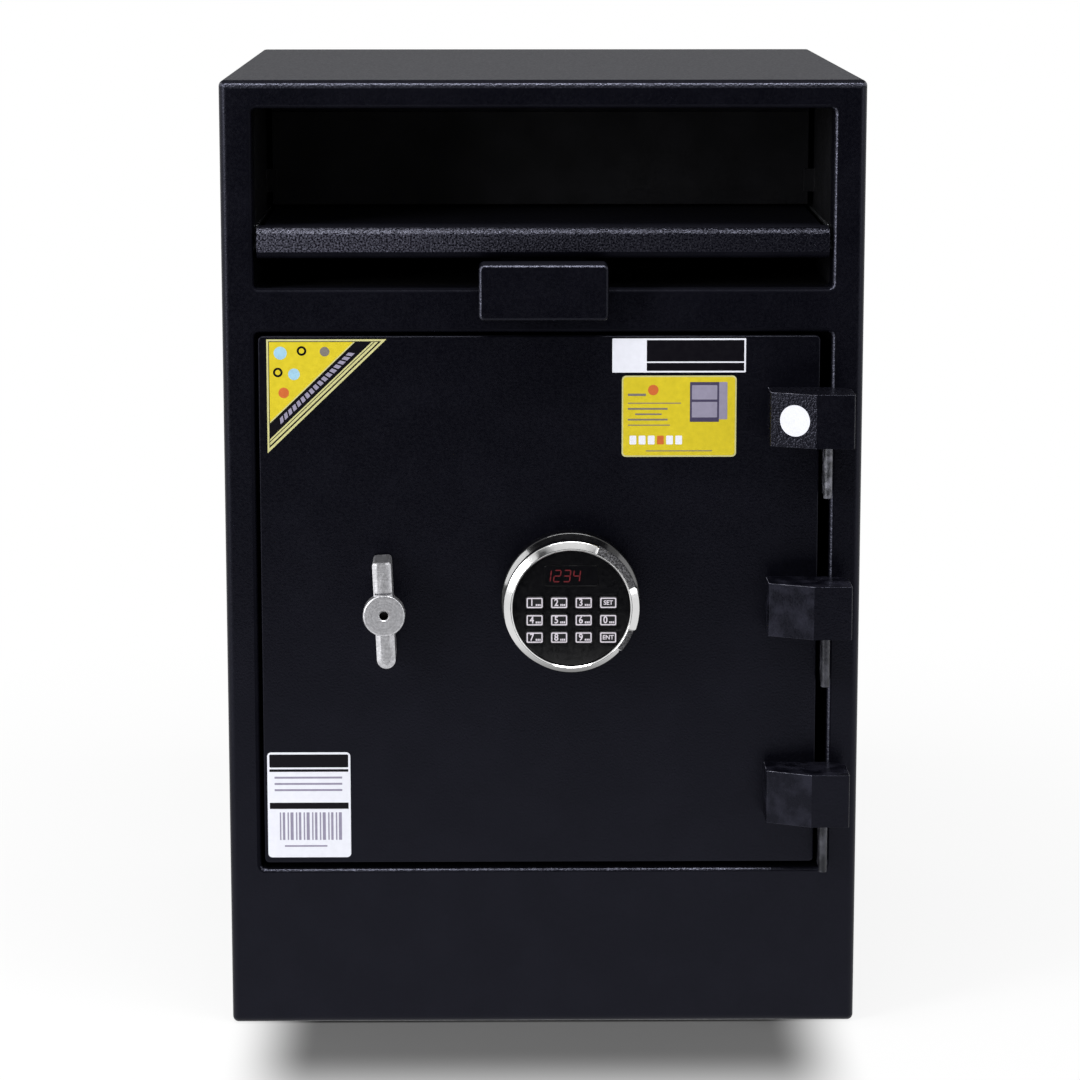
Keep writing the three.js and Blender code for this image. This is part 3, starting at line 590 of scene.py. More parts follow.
def folded_sheet(bm, box, reach, radius, way):
    """A sheet folded back round an edge. Way is 1 for the outside of the shell and -1 for an opening."""
    loops = [facing(rectangle(*grown(box, way * growth)), depth) for growth, depth in edge_round(radius)]
    loops.append(facing(rectangle(*box), reach))
    inner = rectangle(*grown(box, -way * SHEET))
    loops += [facing(inner, reach), facing(inner, SHEET)]
    return loft(bm, loops, edge_bands=EDGE_STEPS)


def fill_between(bm, rings):
    """Fills the flat face between an outer ring and the rings of its holes."""
    edges = [bm.edges.get((ring[index - 1], ring[index])) for ring in rings for index in range(len(ring))]
    bmesh.ops.triangle_fill(bm, edges=edges, use_beauty=True, normal=(0, -1, 0))


def shell_material(polygon):
    """Edge finish on the top front edge, each opening's right side and the sill. Other edges are dull."""
    x, z = polygon.center.x / MM, polygon.center.z / MM
    if polygon.material_index == 1 and z > SHELL_HIGH.z - FACE_ROUND and polygon.normal.z > BRIGHT_FROM:
        return 1 if polygon.normal.z < BRIGHT_TO else 2
    beyond = abs(x) > OPEN_RIGHT + OPENING_ROUND or not DOORWAY[2] - SHEET < z < NICHE[3] + SHEET
    if polygon.material_index == 0 or beyond:
        return 0
    jamb = x > 0 and polygon.normal.x < -LEANING
    sill = z < DOORWAY[2] + SHEET and polygon.normal.z > LEANING
    return 1 if jamb or sill else 2


def body_skin():
    bm = bmesh.new()
    skins = [folded_sheet(bm, FACE_BOX, SHELL_DEPTH, FACE_ROUND, 1)]
    for box in (NICHE, DOORWAY):
        skins.append(folded_sheet(bm, box, RETURN_DEPTH, OPENING_ROUND, -1))
    fill_between(bm, [rings[0] for rings in skins])
    fill_between(bm, [rings[-1] for rings in skins])
    make("body_skin", bm, "body", [POWDER, POWDER_EDGE, POWDER_DULL], ["outer_shell"],
         material_of=shell_material)


body_skin()


# Deposit drawer

LIP_ROUND = 7
LIP_HEIGHT = 25
TRAY_SHEET = 2
TRAY_BEVEL = 0.7
HEM_DEPTH = 16
FLANGE_INSET = 4.5
FLANGE_HEIGHT = 18
RUNNER_START = 34
UNDERSIDE = -0.2
PULL_TOP_DROP = 2
PULL_FACE_GAP = 0.5
PULL_CORNER = 4.5
PULL_ROUND = 3
TONGUE_CLEARANCE = 3
TONGUE_THICK = 12
TONGUE_HALF = 35
TONGUE_RISER = 8


def tray_material(polygon):
    """The lip's face with painted glints, its edges towards the lamps with a painted highlight, a dull lower
    edge and a plain tray behind the lip.
    """
    if polygon.center.y > (FRONT + LIP_ROUND) * MM:
        return 3
    if polygon.normal.z < UNDERSIDE:
        return 2
    return 1 if lit_edge(polygon) or polygon.normal.z > LEANING else 0


def tray():
    """Sheet with a rolled front lip and a flange down each side."""
    top = TRAY_HIGH.z
    low = top - LIP_HEIGHT
    rear = TRAY_HIGH.y - FRONT
    inner = LIP_ROUND - TRAY_SHEET
    lip = rounded([
        (RETURN_DEPTH, top, 0), (0, top, LIP_ROUND), (0, low, LIP_ROUND), (HEM_DEPTH, low, 0),
        (HEM_DEPTH, low + TRAY_SHEET, 0), (TRAY_SHEET, low + TRAY_SHEET, inner),
        (TRAY_SHEET, top - TRAY_SHEET, inner), (RETURN_DEPTH, top - TRAY_SHEET, 0),
    ])
    left, right = TRAY_LOW.x + FLANGE_INSET, TRAY_HIGH.x - FLANGE_INSET
    lip_body = body_of_loops([sideways(lip, TRAY_LOW.x), sideways(lip, TRAY_HIGH.x)])
    parts = [slab(left, right, HEM_DEPTH, rear, top - TRAY_SHEET, top)]
    for start in (left, right - TRAY_SHEET):
        parts.append(slab(start, start + TRAY_SHEET, RUNNER_START, rear, top - FLANGE_HEIGHT, top))
    make("tray", combined("UNION", lip_body, *parts), "drawer", [LIP_FACE_GLINTS, LIP_EDGE_HIGHLIGHT, POWDER_DULL, POWDER],
         ["drawer_tray"], bevel=TRAY_BEVEL, material_of=tray_material)


def pull():
    """Block with a tongue behind it that carries it under the tray."""
    top = TRAY_HIGH.z - LIP_HEIGHT - PULL_TOP_DROP
    near = PULL_LOW.y - FRONT
    rear = PULL_HIGH.y - FRONT
    tongue_low = NICHE[2] + TONGUE_CLEARANCE
    box = (PULL_LOW.x, PULL_HIGH.x, PULL_LOW.z, top, PULL_CORNER)
    block = plate(box, near, -PULL_FACE_GAP, PULL_ROUND, edge_bands=EDGE_STEPS)
    tongue = slab(-TONGUE_HALF, TONGUE_HALF, -PULL_ROUND, rear, tongue_low, tongue_low + TONGUE_THICK)
    riser = slab(-TONGUE_HALF, TONGUE_HALF, rear - TONGUE_RISER, rear, tongue_low, PULL_HIGH.z)
    make("pull_block", combined("UNION", block, tongue, riser), "drawer", [POWDER, POWDER_EDGE],
         ["drawer_pull"], material_of=lit_edge)


tray()
pull()


# Door

PLATE_ROUND = 1.2
PLATE_THICK = 8


def door_skin():
    box = (DOOR_LOW.x, DOOR_HIGH.x, DOOR_LOW.z, DOOR_HIGH.z, OPENING_CORNER)
    skin = plate(box, 0, PLATE_THICK, PLATE_ROUND)
    make("door_skin", skin, "door", POWDER, ["door_plate"])


door_skin()


# Hinges

AXIS_FORWARD = 22
PIN_RADIUS = 2.5
PIN_ROOM = 0.05
PIN_STANDOUT = 20.5
PIN_ROOT = 25
LUG_GAP = 0.5
LUG_HALF = 2.2
LUG_NOSE = 3.5
LUG_ROOT = 24
LUG_BEVEL = 0.6
CAP_SWING = AXIS_FORWARD - LUG_GAP
CAP_TIP_THICK = 31
CAP_FOLD = 12.1
CAP_CORNER = 2
CAP_TAIL_CORNER = 1.4
CAP_BEVEL = 1.7

# How far the normals of the cap's slanted face and of its top lean
CAP_SLANT = 0.2
CAP_TOP = 0.5


def hinge_axis(place):
    """Where the axis of a hinge lies across the width."""
    low, high = span(f"hinge_lug_{place}")
    return (low.x + high.x) / 2


def pin_rod(radius, x, low, high):
    """A round bar along the axis of a hinge, between two heights."""
    return rod(radius, Vector((x, FRONT - AXIS_FORWARD, low)), Vector((x, FRONT - AXIS_FORWARD, high)))


def hinge_cap(place):
    """Folded block on the door with a bore for the pin and a tail that swings clear of the lug."""
    low, high = span(f"hinge_cap_{place}")
    x = hinge_axis(place)
    fold = x - CAP_FOLD
    near = low.y - FRONT
    tail_angle = math.degrees(math.acos((high.x - x) / CAP_SWING))
    tail_depth = CAP_SWING * math.sin(math.radians(tail_angle)) - AXIS_FORWARD
    outline = rounded([
        (DOOR_HIGH.x, -SEAT, 0), (low.x, -SEAT, 0), (low.x, -CAP_TIP_THICK, CAP_CORNER),
        (fold, near, CAP_CORNER), (high.x, near, CAP_TAIL_CORNER), (high.x, tail_depth, 0),
    ])
    outline += arc(x, -AXIS_FORWARD, CAP_SWING, tail_angle, 90)[1:]
    block = body_of_loops([level(outline, low.z), level(outline, high.z)])
    bore = pin_rod(PIN_RADIUS + PIN_ROOM, x, low.z - OVERRUN, low.z + PIN_STANDOUT)

    def cap_material(polygon):
        """Painted highlight on the top edges left of the fold, a shinier coat on other edges towards the
        lamps, a paler lit coat on the slanted face and top, and the rest.
        """
        if lit_edge(polygon):
            return 3 if polygon.normal.z > LEANING and polygon.center.x < fold * MM else 1
        return 2 if polygon.normal.x < -CAP_SLANT or polygon.normal.z > CAP_TOP else 0

    # The slanted face and top take a paler coat that paints the lamps' light, speckled with painted glints on
    # the upper cap
    slanted = POWDER_SLANT_GLINTS if place == "upper" else POWDER_SLANT_LIT
    make(f"hinge_leaf_{place}", combined("DIFFERENCE", block, bore), "door",
         [POWDER, POWDER_EDGE, slanted, POWDER_EDGE_HIGHLIGHT], [f"hinge_cap_{place}"],
         bevel=CAP_BEVEL, material_of=cap_material)


def hinge_lug(place):
    """Upright fin on the body with a round nose that holds the root of the pin."""
    low, high = span(f"hinge_lug_{place}")
    x = hinge_axis(place)
    fin = [Vector((x - LUG_HALF, LUG_ROOT)), Vector((x + LUG_HALF, LUG_ROOT)),
           Vector((x + LUG_HALF, -AXIS_FORWARD)), Vector((x - LUG_HALF, -AXIS_FORWARD))]
    fin_body = body_of_loops([level(fin, low.z), level(fin, high.z)])
    nose = pin_rod(LUG_NOSE, x, low.z, high.z)
    bore = pin_rod(PIN_RADIUS + SEAT, x, high.z - PIN_ROOT, high.z + OVERRUN)
    whole = combined("DIFFERENCE", combined("UNION", fin_body, nose), bore)
    # Paler on the upper fin: a painted highlight that is brighter near the top
    finish = POWDER_BRIGHT_FIN if place == "upper" else POWDER_DIM_FIN
    make(f"hinge_fin_{place}", whole, "body", finish, [f"hinge_lug_{place}"], bevel=LUG_BEVEL)


for hinge_place in ("upper", "middle", "lower"):
    hinge_cap(hinge_place)
    hinge_lug(hinge_place)


# Turning handle

HUB_RADIUS = 17.5
HUB_FRONT = -40
HUB_BACK = -29
HUB_BEVEL = 1.8
HUB_BACK_ROUND = 0.8
STEM_RADIUS = 11
WING_HALF_WIDTH = 7.7
WING_HALF_LENGTH = 45
WING_FRONT = -39.6
WING_BACK = -4
WING_CHAMFER = 4
WING_SLOPE = 2.8
WING_TOP_CORNER = 3.4
WING_LEAN = 2.5
NOTCH_START = 1
NOTCH_HEIGHT = 1.7
NOTCH_DEPTH = 3
DIMPLE_RADIUS = 3.6
DIMPLE_DEPTH = 8
DIMPLE_FLARE = 1.9
HANDLE_BEVEL = 0.35

# Keeps the round end of the wing from closing to a point between its two corners
ROUND_END_GAP = 0.02


def wing_outline(growth):
    """The handle's two wings as one outline, square at the top and round at the bottom."""
    half, end, foot = WING_HALF_WIDTH + growth, WING_HALF_LENGTH + growth / 5, WING_HALF_LENGTH + growth
    low, top = half - ROUND_END_GAP, WING_TOP_CORNER + growth / 2
    return rounded([(-half, -foot, low), (half, -foot, low), (half, end, top), (-half, end, top)])


def wings(x, z):
    """Chamfered wings with a notch above the hub, leaning a little to the right."""
    shapes = ((-WING_CHAMFER, WING_FRONT), (0, WING_FRONT + WING_SLOPE), (0, WING_BACK))
    blank = body_of_loops([facing(wing_outline(growth), depth) for growth, depth in shapes])
    notch = slab(NOTCH_START - WING_HALF_WIDTH, WING_HALF_WIDTH + OVERRUN, WING_FRONT - OVERRUN,
                 WING_FRONT + NOTCH_DEPTH, HUB_RADIUS, HUB_RADIUS + NOTCH_HEIGHT)
    notched = combined("DIFFERENCE", blank, notch)
    lean = Matrix.Rotation(math.radians(-WING_LEAN), 4, "Y")
    bmesh.ops.transform(notched, matrix=Matrix.Translation((x, 0, z)) @ lean, verts=notched.verts)
    return notched


def handle():
    x = (HANDLE_LOW.x + HANDLE_HIGH.x) / 2
    z = (HANDLE_LOW.z + HANDLE_HIGH.z) / 2
    profile = rounded([
        (CORE, HUB_FRONT, 0), (HUB_RADIUS, HUB_FRONT, HUB_BEVEL), (HUB_RADIUS, HUB_BACK, HUB_BACK_ROUND),
        (STEM_RADIUS, HUB_BACK, 0), (STEM_RADIUS, -SEAT, 0),
    ])
    hub = body_of_loops(turned(profile, x, z))
    mouth = [
        (CORE, HUB_FRONT - OVERRUN), (DIMPLE_RADIUS + DIMPLE_FLARE, HUB_FRONT - OVERRUN),
        (DIMPLE_RADIUS, HUB_FRONT + OVERRUN), (DIMPLE_RADIUS, HUB_FRONT + DIMPLE_DEPTH),
        (CORE, HUB_FRONT + DIMPLE_DEPTH),
    ]
    dimple = body_of_loops(turned(mouth, x, z, steps=ROD_STEPS))
    whole = combined("DIFFERENCE", combined("UNION", hub, wings(x, z)), dimple)
    axis = Vector((x, z)) * MM

    def in_dimple(polygon):
        behind = polygon.center.y > (FRONT + HUB_FRONT + OVERRUN) * MM
        return behind and (polygon.center.xz - axis).length < DIMPLE_RADIUS * MM

    make("handle_casting", whole, "handle", [CASTING, SATIN], ["turning_handle"],
         bevel=HANDLE_BEVEL, material_of=in_dimple)


handle()


# Keypad

BASE_LOW, BASE_HIGH = span("keypad_base")
BASE_RADIUS = (BASE_HIGH.x - BASE_LOW.x) / 2
BASE_FRONT = BASE_LOW.y - FRONT
BASE_SHOULDER = 53
BASE_FALL = 3
BASE_SHOULDER_ROUND = 1
BASE_SIDE_ROUND = 2.2
BASE_FOOT_ROUND = 0.4

HOUSING_LOW, HOUSING_HIGH = span("keypad_housing")
HOUSING_RADIUS = (HOUSING_HIGH.x - HOUSING_LOW.x) / 2
HOUSING_ROUND = 0.5
HOUSING_NARROWING = 3
HOUSING_NARROW_DEPTH = 4
HOUSING_NARROW_ROUND = 1.5

RING_OUTER = (BEZEL_HIGH.x - BEZEL_LOW.x) / 2
RING_INNER = 48.6
RING_FRONT = BEZEL_LOW.y - FRONT
RING_BACK = BEZEL_HIGH.y - FRONT
RING_FALL = 4
RING_LOW_FALL = 2.5
RING_EDGE_ROUND = 0.5
RING_CHAMFER_WIDTH = 1.3
RING_CHAMFER_DEPTH = 1.2
RING_CREST_ROUND = 0.7
RING_RIM_ROUND = 1.6
RING_STEPS = 720
RING_CORNER_STEPS = 6
CONE_START = 50.4
INSERT_START = 51

# How far the outside of the ring is drawn in at the right insert, along the rest and more in its low part
INSERT_DRAW = 1.4
RING_DRAW = 0.5
RING_LOW_DRAW = 1.9

# Angles in degrees. The seams bound the two inserts of the ring, anticlockwise from its right. Its low part
# is counted clockwise: where it starts and ends, and over how much it eases in and out
SEAMS = (66.5, 18, -20, -42)
SEAM_HALF_WIDTH = 0.9
SEAM_MARGIN = 1
SEAM_DEPTH = 0.7
LOW_START = 20
LOW_EASE_IN = 22
LOW_END = 165
LOW_EASE_OUT = 45


def keypad_body():
    profile = rounded([
        (CORE, BASE_FRONT, 0), (BASE_SHOULDER, BASE_FRONT, BASE_SHOULDER_ROUND),
        (BASE_RADIUS, BASE_FRONT + BASE_FALL, BASE_SIDE_ROUND), (BASE_RADIUS, -SEAT, BASE_FOOT_ROUND),
        (CORE, -SEAT, 0),
    ])
    make("keypad_foot", body_of_loops(turned(profile, PAD_X, PAD_Z)), "door", GLOSS,
         ["keypad_base"])
    front, back = HOUSING_LOW.y - FRONT, HOUSING_HIGH.y - FRONT
    profile = rounded([
        (CORE, front, 0), (HOUSING_RADIUS, front, HOUSING_ROUND),
        (HOUSING_RADIUS, back - HOUSING_NARROW_DEPTH, HOUSING_NARROW_ROUND),
        (HOUSING_RADIUS - HOUSING_NARROWING, back, HOUSING_ROUND), (CORE, back, 0),
    ])
    make("keypad_drum", body_of_loops(turned(profile, PAD_X, PAD_Z)), "door", GLOSS,
         ["keypad_housing"])


def low_share(degrees):
    """How far an angle lies in the low part of the ring: 0 outside it and 1 along most of it."""
    angle = -degrees % 360
    return max(0, min(1, (angle - LOW_START) / LOW_EASE_IN, (LOW_END - angle) / LOW_EASE_OUT))


def ring_reach(radius, depth, degrees):
    """Radius of the chrome ring at an angle: full at the grip, drawn in below it, grooved at each seam."""
    angle = (degrees + 180) % 360 - 180
    reach = radius
    if radius > INSERT_START:
        if SEAMS[3] < angle < SEAMS[2]:
            reach -= INSERT_DRAW
        elif not SEAMS[2] <= angle <= SEAMS[1]:
            reach -= RING_DRAW + RING_LOW_DRAW * low_share(degrees)
        if min(abs(angle - seam) for seam in SEAMS) < SEAM_HALF_WIDTH:
            reach -= SEAM_DEPTH
    return reach


def keypad_ring():
    """Chrome ring with two coarse inserts, lower and narrower in its low part."""
    shapes = []
    for fall in (RING_FALL, RING_LOW_FALL):
        profile = rounded([
            (RING_INNER, RING_BACK, 0), (RING_INNER, RING_FRONT + RING_CHAMFER_DEPTH, RING_EDGE_ROUND),
            (RING_INNER + RING_CHAMFER_WIDTH, RING_FRONT, RING_CREST_ROUND),
            (RING_OUTER, RING_FRONT + fall, RING_RIM_ROUND), (RING_OUTER, RING_BACK, RING_EDGE_ROUND),
        ], RING_CORNER_STEPS)
        shapes.append(turned(profile, PAD_X, PAD_Z, ring_reach, RING_STEPS))
    shares = [low_share(360 * step / RING_STEPS) for step in range(RING_STEPS)]
    loops = [[high.lerp(low, share) for high, low, share in zip(*pair, shares)] for pair in zip(*shapes)]
    bm = body_of_loops(loops, wrap=True)
    for face in bm.faces:
        middle = face.calc_center_median()
        x, z = middle.x - PAD_X, middle.z - PAD_Z
        angle = math.degrees(math.atan2(z, x))
        in_insert = any(low + SEAM_MARGIN < angle < high - SEAM_MARGIN
                        for high, low in (SEAMS[:2], SEAMS[2:]))
        if math.hypot(x, z) > CONE_START:
            face.material_index = 1 if in_insert else 2
    make("keypad_ring", bm, "door", [CHROME, POWDER_GRIP, RING_CHROME], ["keypad_bezel"])


# Keys with their legends

LEGENDS = ("1", "2", "3", "SET", "4", "5", "6", "0", "7", "8", "9", "ENT")
KEY_CORNER = 2
KEY_ROUND = 0.7
PRINT_INSET = 0.55
PRINT_WIDTH = 1
PRINT_THICK = 0.05
LETTER_BOLDNESS = 0.02
DIGIT_SIZE = 8.2
DIGIT_SQUEEZE = 0.85
DIGIT_PLACE = 5.2
WORD_SIZE = 5.2
WORD_SQUEEZE = 0.95
MARKS_START = 8.4
MARK_PITCH = 1.5
MARK_WIDTH = 1.1
MARK_LOW = 2.6
MARK_HIGH = 4.2


def outline_print(bm, box, depth):
    """A printed line round a rectangle: a flat ring that stands on a depth."""
    top = depth - PRINT_THICK
    loops = [facing(rectangle(*grown(box, growth)), at)
             for growth, at in ((0, depth), (0, top), (-PRINT_WIDTH, top), (-PRINT_WIDTH, depth))]
    body_of_loops(loops, wrap=True, bm=bm)


def lettering(text, x, z, depth, size, squeeze):
    """Flat letters in the front plane, as a mesh in millimetres, centred on a place."""
    curve = bpy.data.curves.new("letters", "FONT")
    curve.body = text
    curve.size = size
    curve.extrude = PRINT_THICK / 2
    curve.offset = LETTER_BOLDNESS * size
    curve.align_x = "CENTER"
    curve.align_y = "CENTER"
    letters = bpy.data.objects.new("letters", curve)
    bpy.context.scene.collection.objects.link(letters)
    graph = bpy.context.evaluated_depsgraph_get()
    mesh = bpy.data.meshes.new_from_object(letters.evaluated_get(graph))
    bm = bmesh.new()
    bm.from_mesh(mesh)
    upright = Matrix.Rotation(math.pi / 2, 4, "X") @ Matrix.Diagonal((squeeze, 1, 1, 1))
    bmesh.ops.transform(bm, matrix=Matrix.Translation((x, FRONT + depth, z)) @ upright, verts=bm.verts)
    bpy.data.objects.remove(letters)
    return bm


def add_mesh(bm, other):
    """Adds another mesh's faces to a mesh."""
    mesh = bpy.data.meshes.new("added")
    other.to_mesh(mesh)
    other.free()
    bm.from_mesh(mesh)
    bpy.data.meshes.remove(mesh)


def key(name, legend):
    """A key cap with a printed frame, and a digit with three small marks or a word."""
    low, high = span(name)
    near, far = low.y - FRONT, high.y - FRONT
    middle_x, middle_z = (low.x + high.x) / 2, (low.z + high.z) / 2
    box = (low.x, high.x, low.z, high.z, KEY_CORNER)
    make(f"{name}_cap", plate(box, near, far, KEY_ROUND), name, KEY, [name])
    marks = bmesh.new()
    outline_print(marks, grown(box, -PRINT_INSET - KEY_ROUND / 2), near)
    if len(legend) == 1:
        add_mesh(marks, lettering(legend, low.x + DIGIT_PLACE, middle_z, near, DIGIT_SIZE, DIGIT_SQUEEZE))
        for step in range(3):
            left = low.x + MARKS_START + step * MARK_PITCH
            slab(left, left + MARK_WIDTH, near - PRINT_THICK, near, low.z + MARK_LOW, low.z + MARK_HIGH,
                 bm=marks)
    else:
        add_mesh(marks, lettering(legend, middle_x, middle_z, near, WORD_SIZE, WORD_SQUEEZE))
    make(f"{name}_print", marks, name, PALE_PRINT)


# Display with four digits of seven segments

SEGMENTS = {"1": "bc", "2": "abged", "3": "abgcd", "4": "fgbc"}
SEGMENT_ENDS = {
    "a": ((-1, 2), (1, 2)), "b": ((1, 2), (1, 0)), "c": ((1, 0), (1, -2)), "d": ((-1, -2), (1, -2)),
    "e": ((-1, 0), (-1, -2)), "f": ((-1, 2), (-1, 0)), "g": ((-1, 0), (1, 0)),
}
DISPLAYED = "1234"
DIGIT_HEIGHT = 9.5
DIGIT_WIDTH = 5.2
DIGIT_PITCH = 8
DIGITS_SHIFT = -7.6
DIGIT_SLANT = 0.12
SEGMENT_THICK = 1.0

# Where the tip and the shoulder of a segment start from its end, as shares of half its thickness
SEGMENT_TIP = 0.3
SEGMENT_SHOULDER = 1.3


def segment_outline(start, end):
    """A bar with pointed ends between two points."""
    along = (end - start).normalized() * SEGMENT_THICK / 2
    side = Vector((-along.y, along.x))
    tip, shoulder = along * SEGMENT_TIP, along * SEGMENT_SHOULDER
    return [start + tip, start + shoulder + side, end - shoulder + side,
            end - tip, end - shoulder - side, start + shoulder - side]


def display_digits():
    low, high = span("keypad_display")
    near = low.y - FRONT
    middle = Vector(((low.x + high.x) / 2 + DIGITS_SHIFT, (low.z + high.z) / 2))
    bm = bmesh.new()
    for index, digit in enumerate(DISPLAYED):
        centre = middle + Vector(((index - (len(DISPLAYED) - 1) / 2) * DIGIT_PITCH, 0))
        for segment in SEGMENTS[digit]:
            ends = [Vector((u * DIGIT_WIDTH / 2, v * DIGIT_HEIGHT / 4)) for u, v in SEGMENT_ENDS[segment]]
            points = [centre + Vector((p.x + p.y * DIGIT_SLANT, p.y)) for p in segment_outline(*ends)]
            body_of_loops([facing(points, near), facing(points, near - PRINT_THICK)], bm=bm)
    make("display_digits", bm, "door", DIGIT)


keypad_body()
keypad_ring()
for number, key_legend in enumerate(LEGENDS):
    key(f"key_{number // 4 + 1}_{number % 4 + 1}", key_legend)
display_digits()


# Screws round the rear cover of the door

SCREW_RADIUS = 3.8
SCREW_HEIGHT = 1.8
SCREW_ROUND = 1.2
SCREW_CORE = 0.6
SCREW_INSET = 14
SCREW_STEPS = 40
RECESS_HALF_LENGTH = SCREW_RADIUS * 0.6
RECESS_HALF_WIDTH = SCREW_RADIUS * 0.11
RECESS_DEPTH = 1


def pan_head(x, z, seat):
    """Head of a screw with a cross recess."""
    top = seat + SCREW_HEIGHT
    profile = rounded([(SCREW_CORE, top, 0), (SCREW_RADIUS, top, SCREW_ROUND), (SCREW_RADIUS, seat, 0),
                       (SCREW_CORE, seat, 0)])
    head = body_of_loops(turned(profile, x, z, steps=SCREW_STEPS))
    wide, thin = RECESS_HALF_LENGTH, RECESS_HALF_WIDTH
    recess = [slab(x - across, x + across, top - RECESS_DEPTH, top + OVERRUN, z - along, z + along)
              for across, along in ((wide, thin), (thin, wide))]
    return combined("DIFFERENCE", head, *recess)


def cover_screws():
    low, high = span("door_back_cover")
    middle = (low + high) / 2
    bm = bmesh.new()
    for x in (low.x + SCREW_INSET, middle.x, high.x - SCREW_INSET):
        for z in (low.z + SCREW_INSET, middle.z, high.z - SCREW_INSET):
            if (x, z) != (middle.x, middle.z):
                add_mesh(bm, pan_head(x, z, high.y - FRONT))
    make("cover_screws", bm, "door", ZINC)


cover_screws()


# Labels on the door: plain stickers with rules and blocks, and nothing to read

LABEL_THICK = 0.25
LAYER = 0.04
DISC_STEPS = 24
TRIANGLE_LEFT = DOOR_LOW.x + 7
TRIANGLE_TOP = DOOR_HIGH.z - 2.4
TRIANGLE_WIDTH = 99
TRIANGLE_HEIGHT = 95
TRIANGLE_INSET = 2.2
PLATE_LEFT = 57
PLATE_WIDTH = 110.5
PLATE_TOP = DOOR_HIGH.z - 2
PLATE_HEIGHT = 28.4
PLATE_BLOCK = 28.5
PLATE_MARGIN = 1.4
CARD_LEFT = PLATE_LEFT + 8
CARD_TOP = PLATE_TOP - PLATE_HEIGHT - 2.6
CARD_WIDTH = 95
CARD_HEIGHT = 68
CARD_MARGIN = 1.2
NOTICE_INSET = 3
NOTICE_WIDTH = 70
NOTICE_LOW = DOOR_LOW.z + 4.8
NOTICE_HEIGHT = 91.2
NOTICE_MARGIN = 1.8
LABEL_CORNER = 3.5
RULE_CORNER = 0.3

# An inset from both legs of the triangle takes this many times as much off the length of each
LEG_LOSS = 3.4

# Dots on the triangle: across and down from its square corner, radius and colour. A second dot on each
# takes a share of the radius
TRIANGLE_DOTS = ((11.4, 11.4, 5.4, "blue"), (29, 9.6, 4, "black"), (48, 10.2, 4, "grey"),
                 (9.2, 27.5, 4, "black"), (22.5, 29, 4.8, "blue"), (13.9, 44.5, 4.4, "red"))
DOT_MIDDLE = 0.55

# Rules on the yellow card: drop from its top, start and end from its left, and thickness
CARD_RULES = ((15, 5, 20, 2), (22.6, 5, 49, 0.8), (27, 5, 38, 1.5), (31.6, 11, 33, 1.3), (36, 5, 38, 1.5),
              (41, 5, 40, 0.8), (62.6, 20, 75, 0.8))

# Bands on the white sticker, as drops from its top to their upper and lower sides, and the widths of its bars
# and of the gaps between them
NOTICE_BANDS = ((14.6, 16.8), (43.6, 49))
BAR_WIDTHS = (1.2, 2, 1.2, 2.6)
BAR_GAPS = (1.3, 2)


def printed(bm, outline, layer, material):
    """A flat shape on the door. Layer 0 is the sticker itself, and each other layer lies on the one below."""
    top = -LABEL_THICK - layer * LAYER
    base = top + LAYER if layer else 0
    body_of_loops([facing(outline, base), facing(outline, top)], bm=bm, material=material)


def patch(bm, left, right, low, high, corner, layer, material):
    printed(bm, rectangle(left, right, low, high, corner), layer, material)


def disc(bm, x, z, radius, layer, material):
    last = 360 - 360 / DISC_STEPS
    printed(bm, arc(x, z, radius, 0, last, DISC_STEPS - 1), layer, material)


def strip(bm, inset, near, far, layer, material, start=0, end=1):
    """The part of the triangle between two shares of its legs, measured from the square corner."""
    left, top = TRIANGLE_LEFT + inset, TRIANGLE_TOP - inset
    wide, tall = TRIANGLE_WIDTH - inset * LEG_LOSS, TRIANGLE_HEIGHT - inset * LEG_LOSS
    corners = [Vector((left + wide * leg * along, top - tall * leg * (1 - along)))
               for leg, along in ((far, start), (far, end), (near, end), (near, start))]
    if near == 0:
        corners.pop()
    printed(bm, corners, layer, material)


def corner_sticker():
    """Yellow corner sticker with coloured dots and a black band along its long side."""
    yellow, pale, black, lilac, blue, grey, red = range(7)
    dot_colours = {"blue": blue, "black": black, "grey": grey, "red": red}
    bm = bmesh.new()
    strip(bm, 0, 0, 1, 0, pale)
    strip(bm, 1.6, 0, 0.995, 1, black)
    strip(bm, TRIANGLE_INSET, 0, 0.76, 2, yellow)
    strip(bm, TRIANGLE_INSET, 0.76, 0.775, 3, pale)
    strip(bm, TRIANGLE_INSET, 0.925, 0.985, 3, pale)
    strip(bm, TRIANGLE_INSET, 0.945, 0.955, 4, black)
    for step in range(17):
        place = 0.11 + step * 0.046
        strip(bm, TRIANGLE_INSET, 0.815, 0.88, 3, lilac, place, place + 0.032)
    for across, down, radius, name in TRIANGLE_DOTS:
        x, z = TRIANGLE_LEFT + across, TRIANGLE_TOP - down
        colour = dot_colours[name]
        disc(bm, x, z, radius, 3, colour)
        disc(bm, x, z, radius * DOT_MIDDLE, 4, yellow if colour == black else colour)
    make("corner_sticker", bm, "door",
         [YELLOW, PALE_YELLOW, BLACK_INK, LILAC_INK, BLUE_INK, GREY_INK, RED_INK])


def name_plate():
    """Bare black plate with a white frame, a white block at its left end and a white rule."""
    white, black = range(2)
    bm = bmesh.new()
    right, low = PLATE_LEFT + PLATE_WIDTH, PLATE_TOP - PLATE_HEIGHT
    patch(bm, PLATE_LEFT, right, low, PLATE_TOP, 0.6, 0, white)
    for bottom, top in ((low + 9.2, PLATE_TOP - PLATE_MARGIN), (low + PLATE_MARGIN, low + 8)):
        patch(bm, PLATE_LEFT + PLATE_BLOCK, right - PLATE_MARGIN, bottom, top, 0.4, 1, black)
    make("name_plate", bm, "door", [WHITE_PAPER, BLACK_INK])


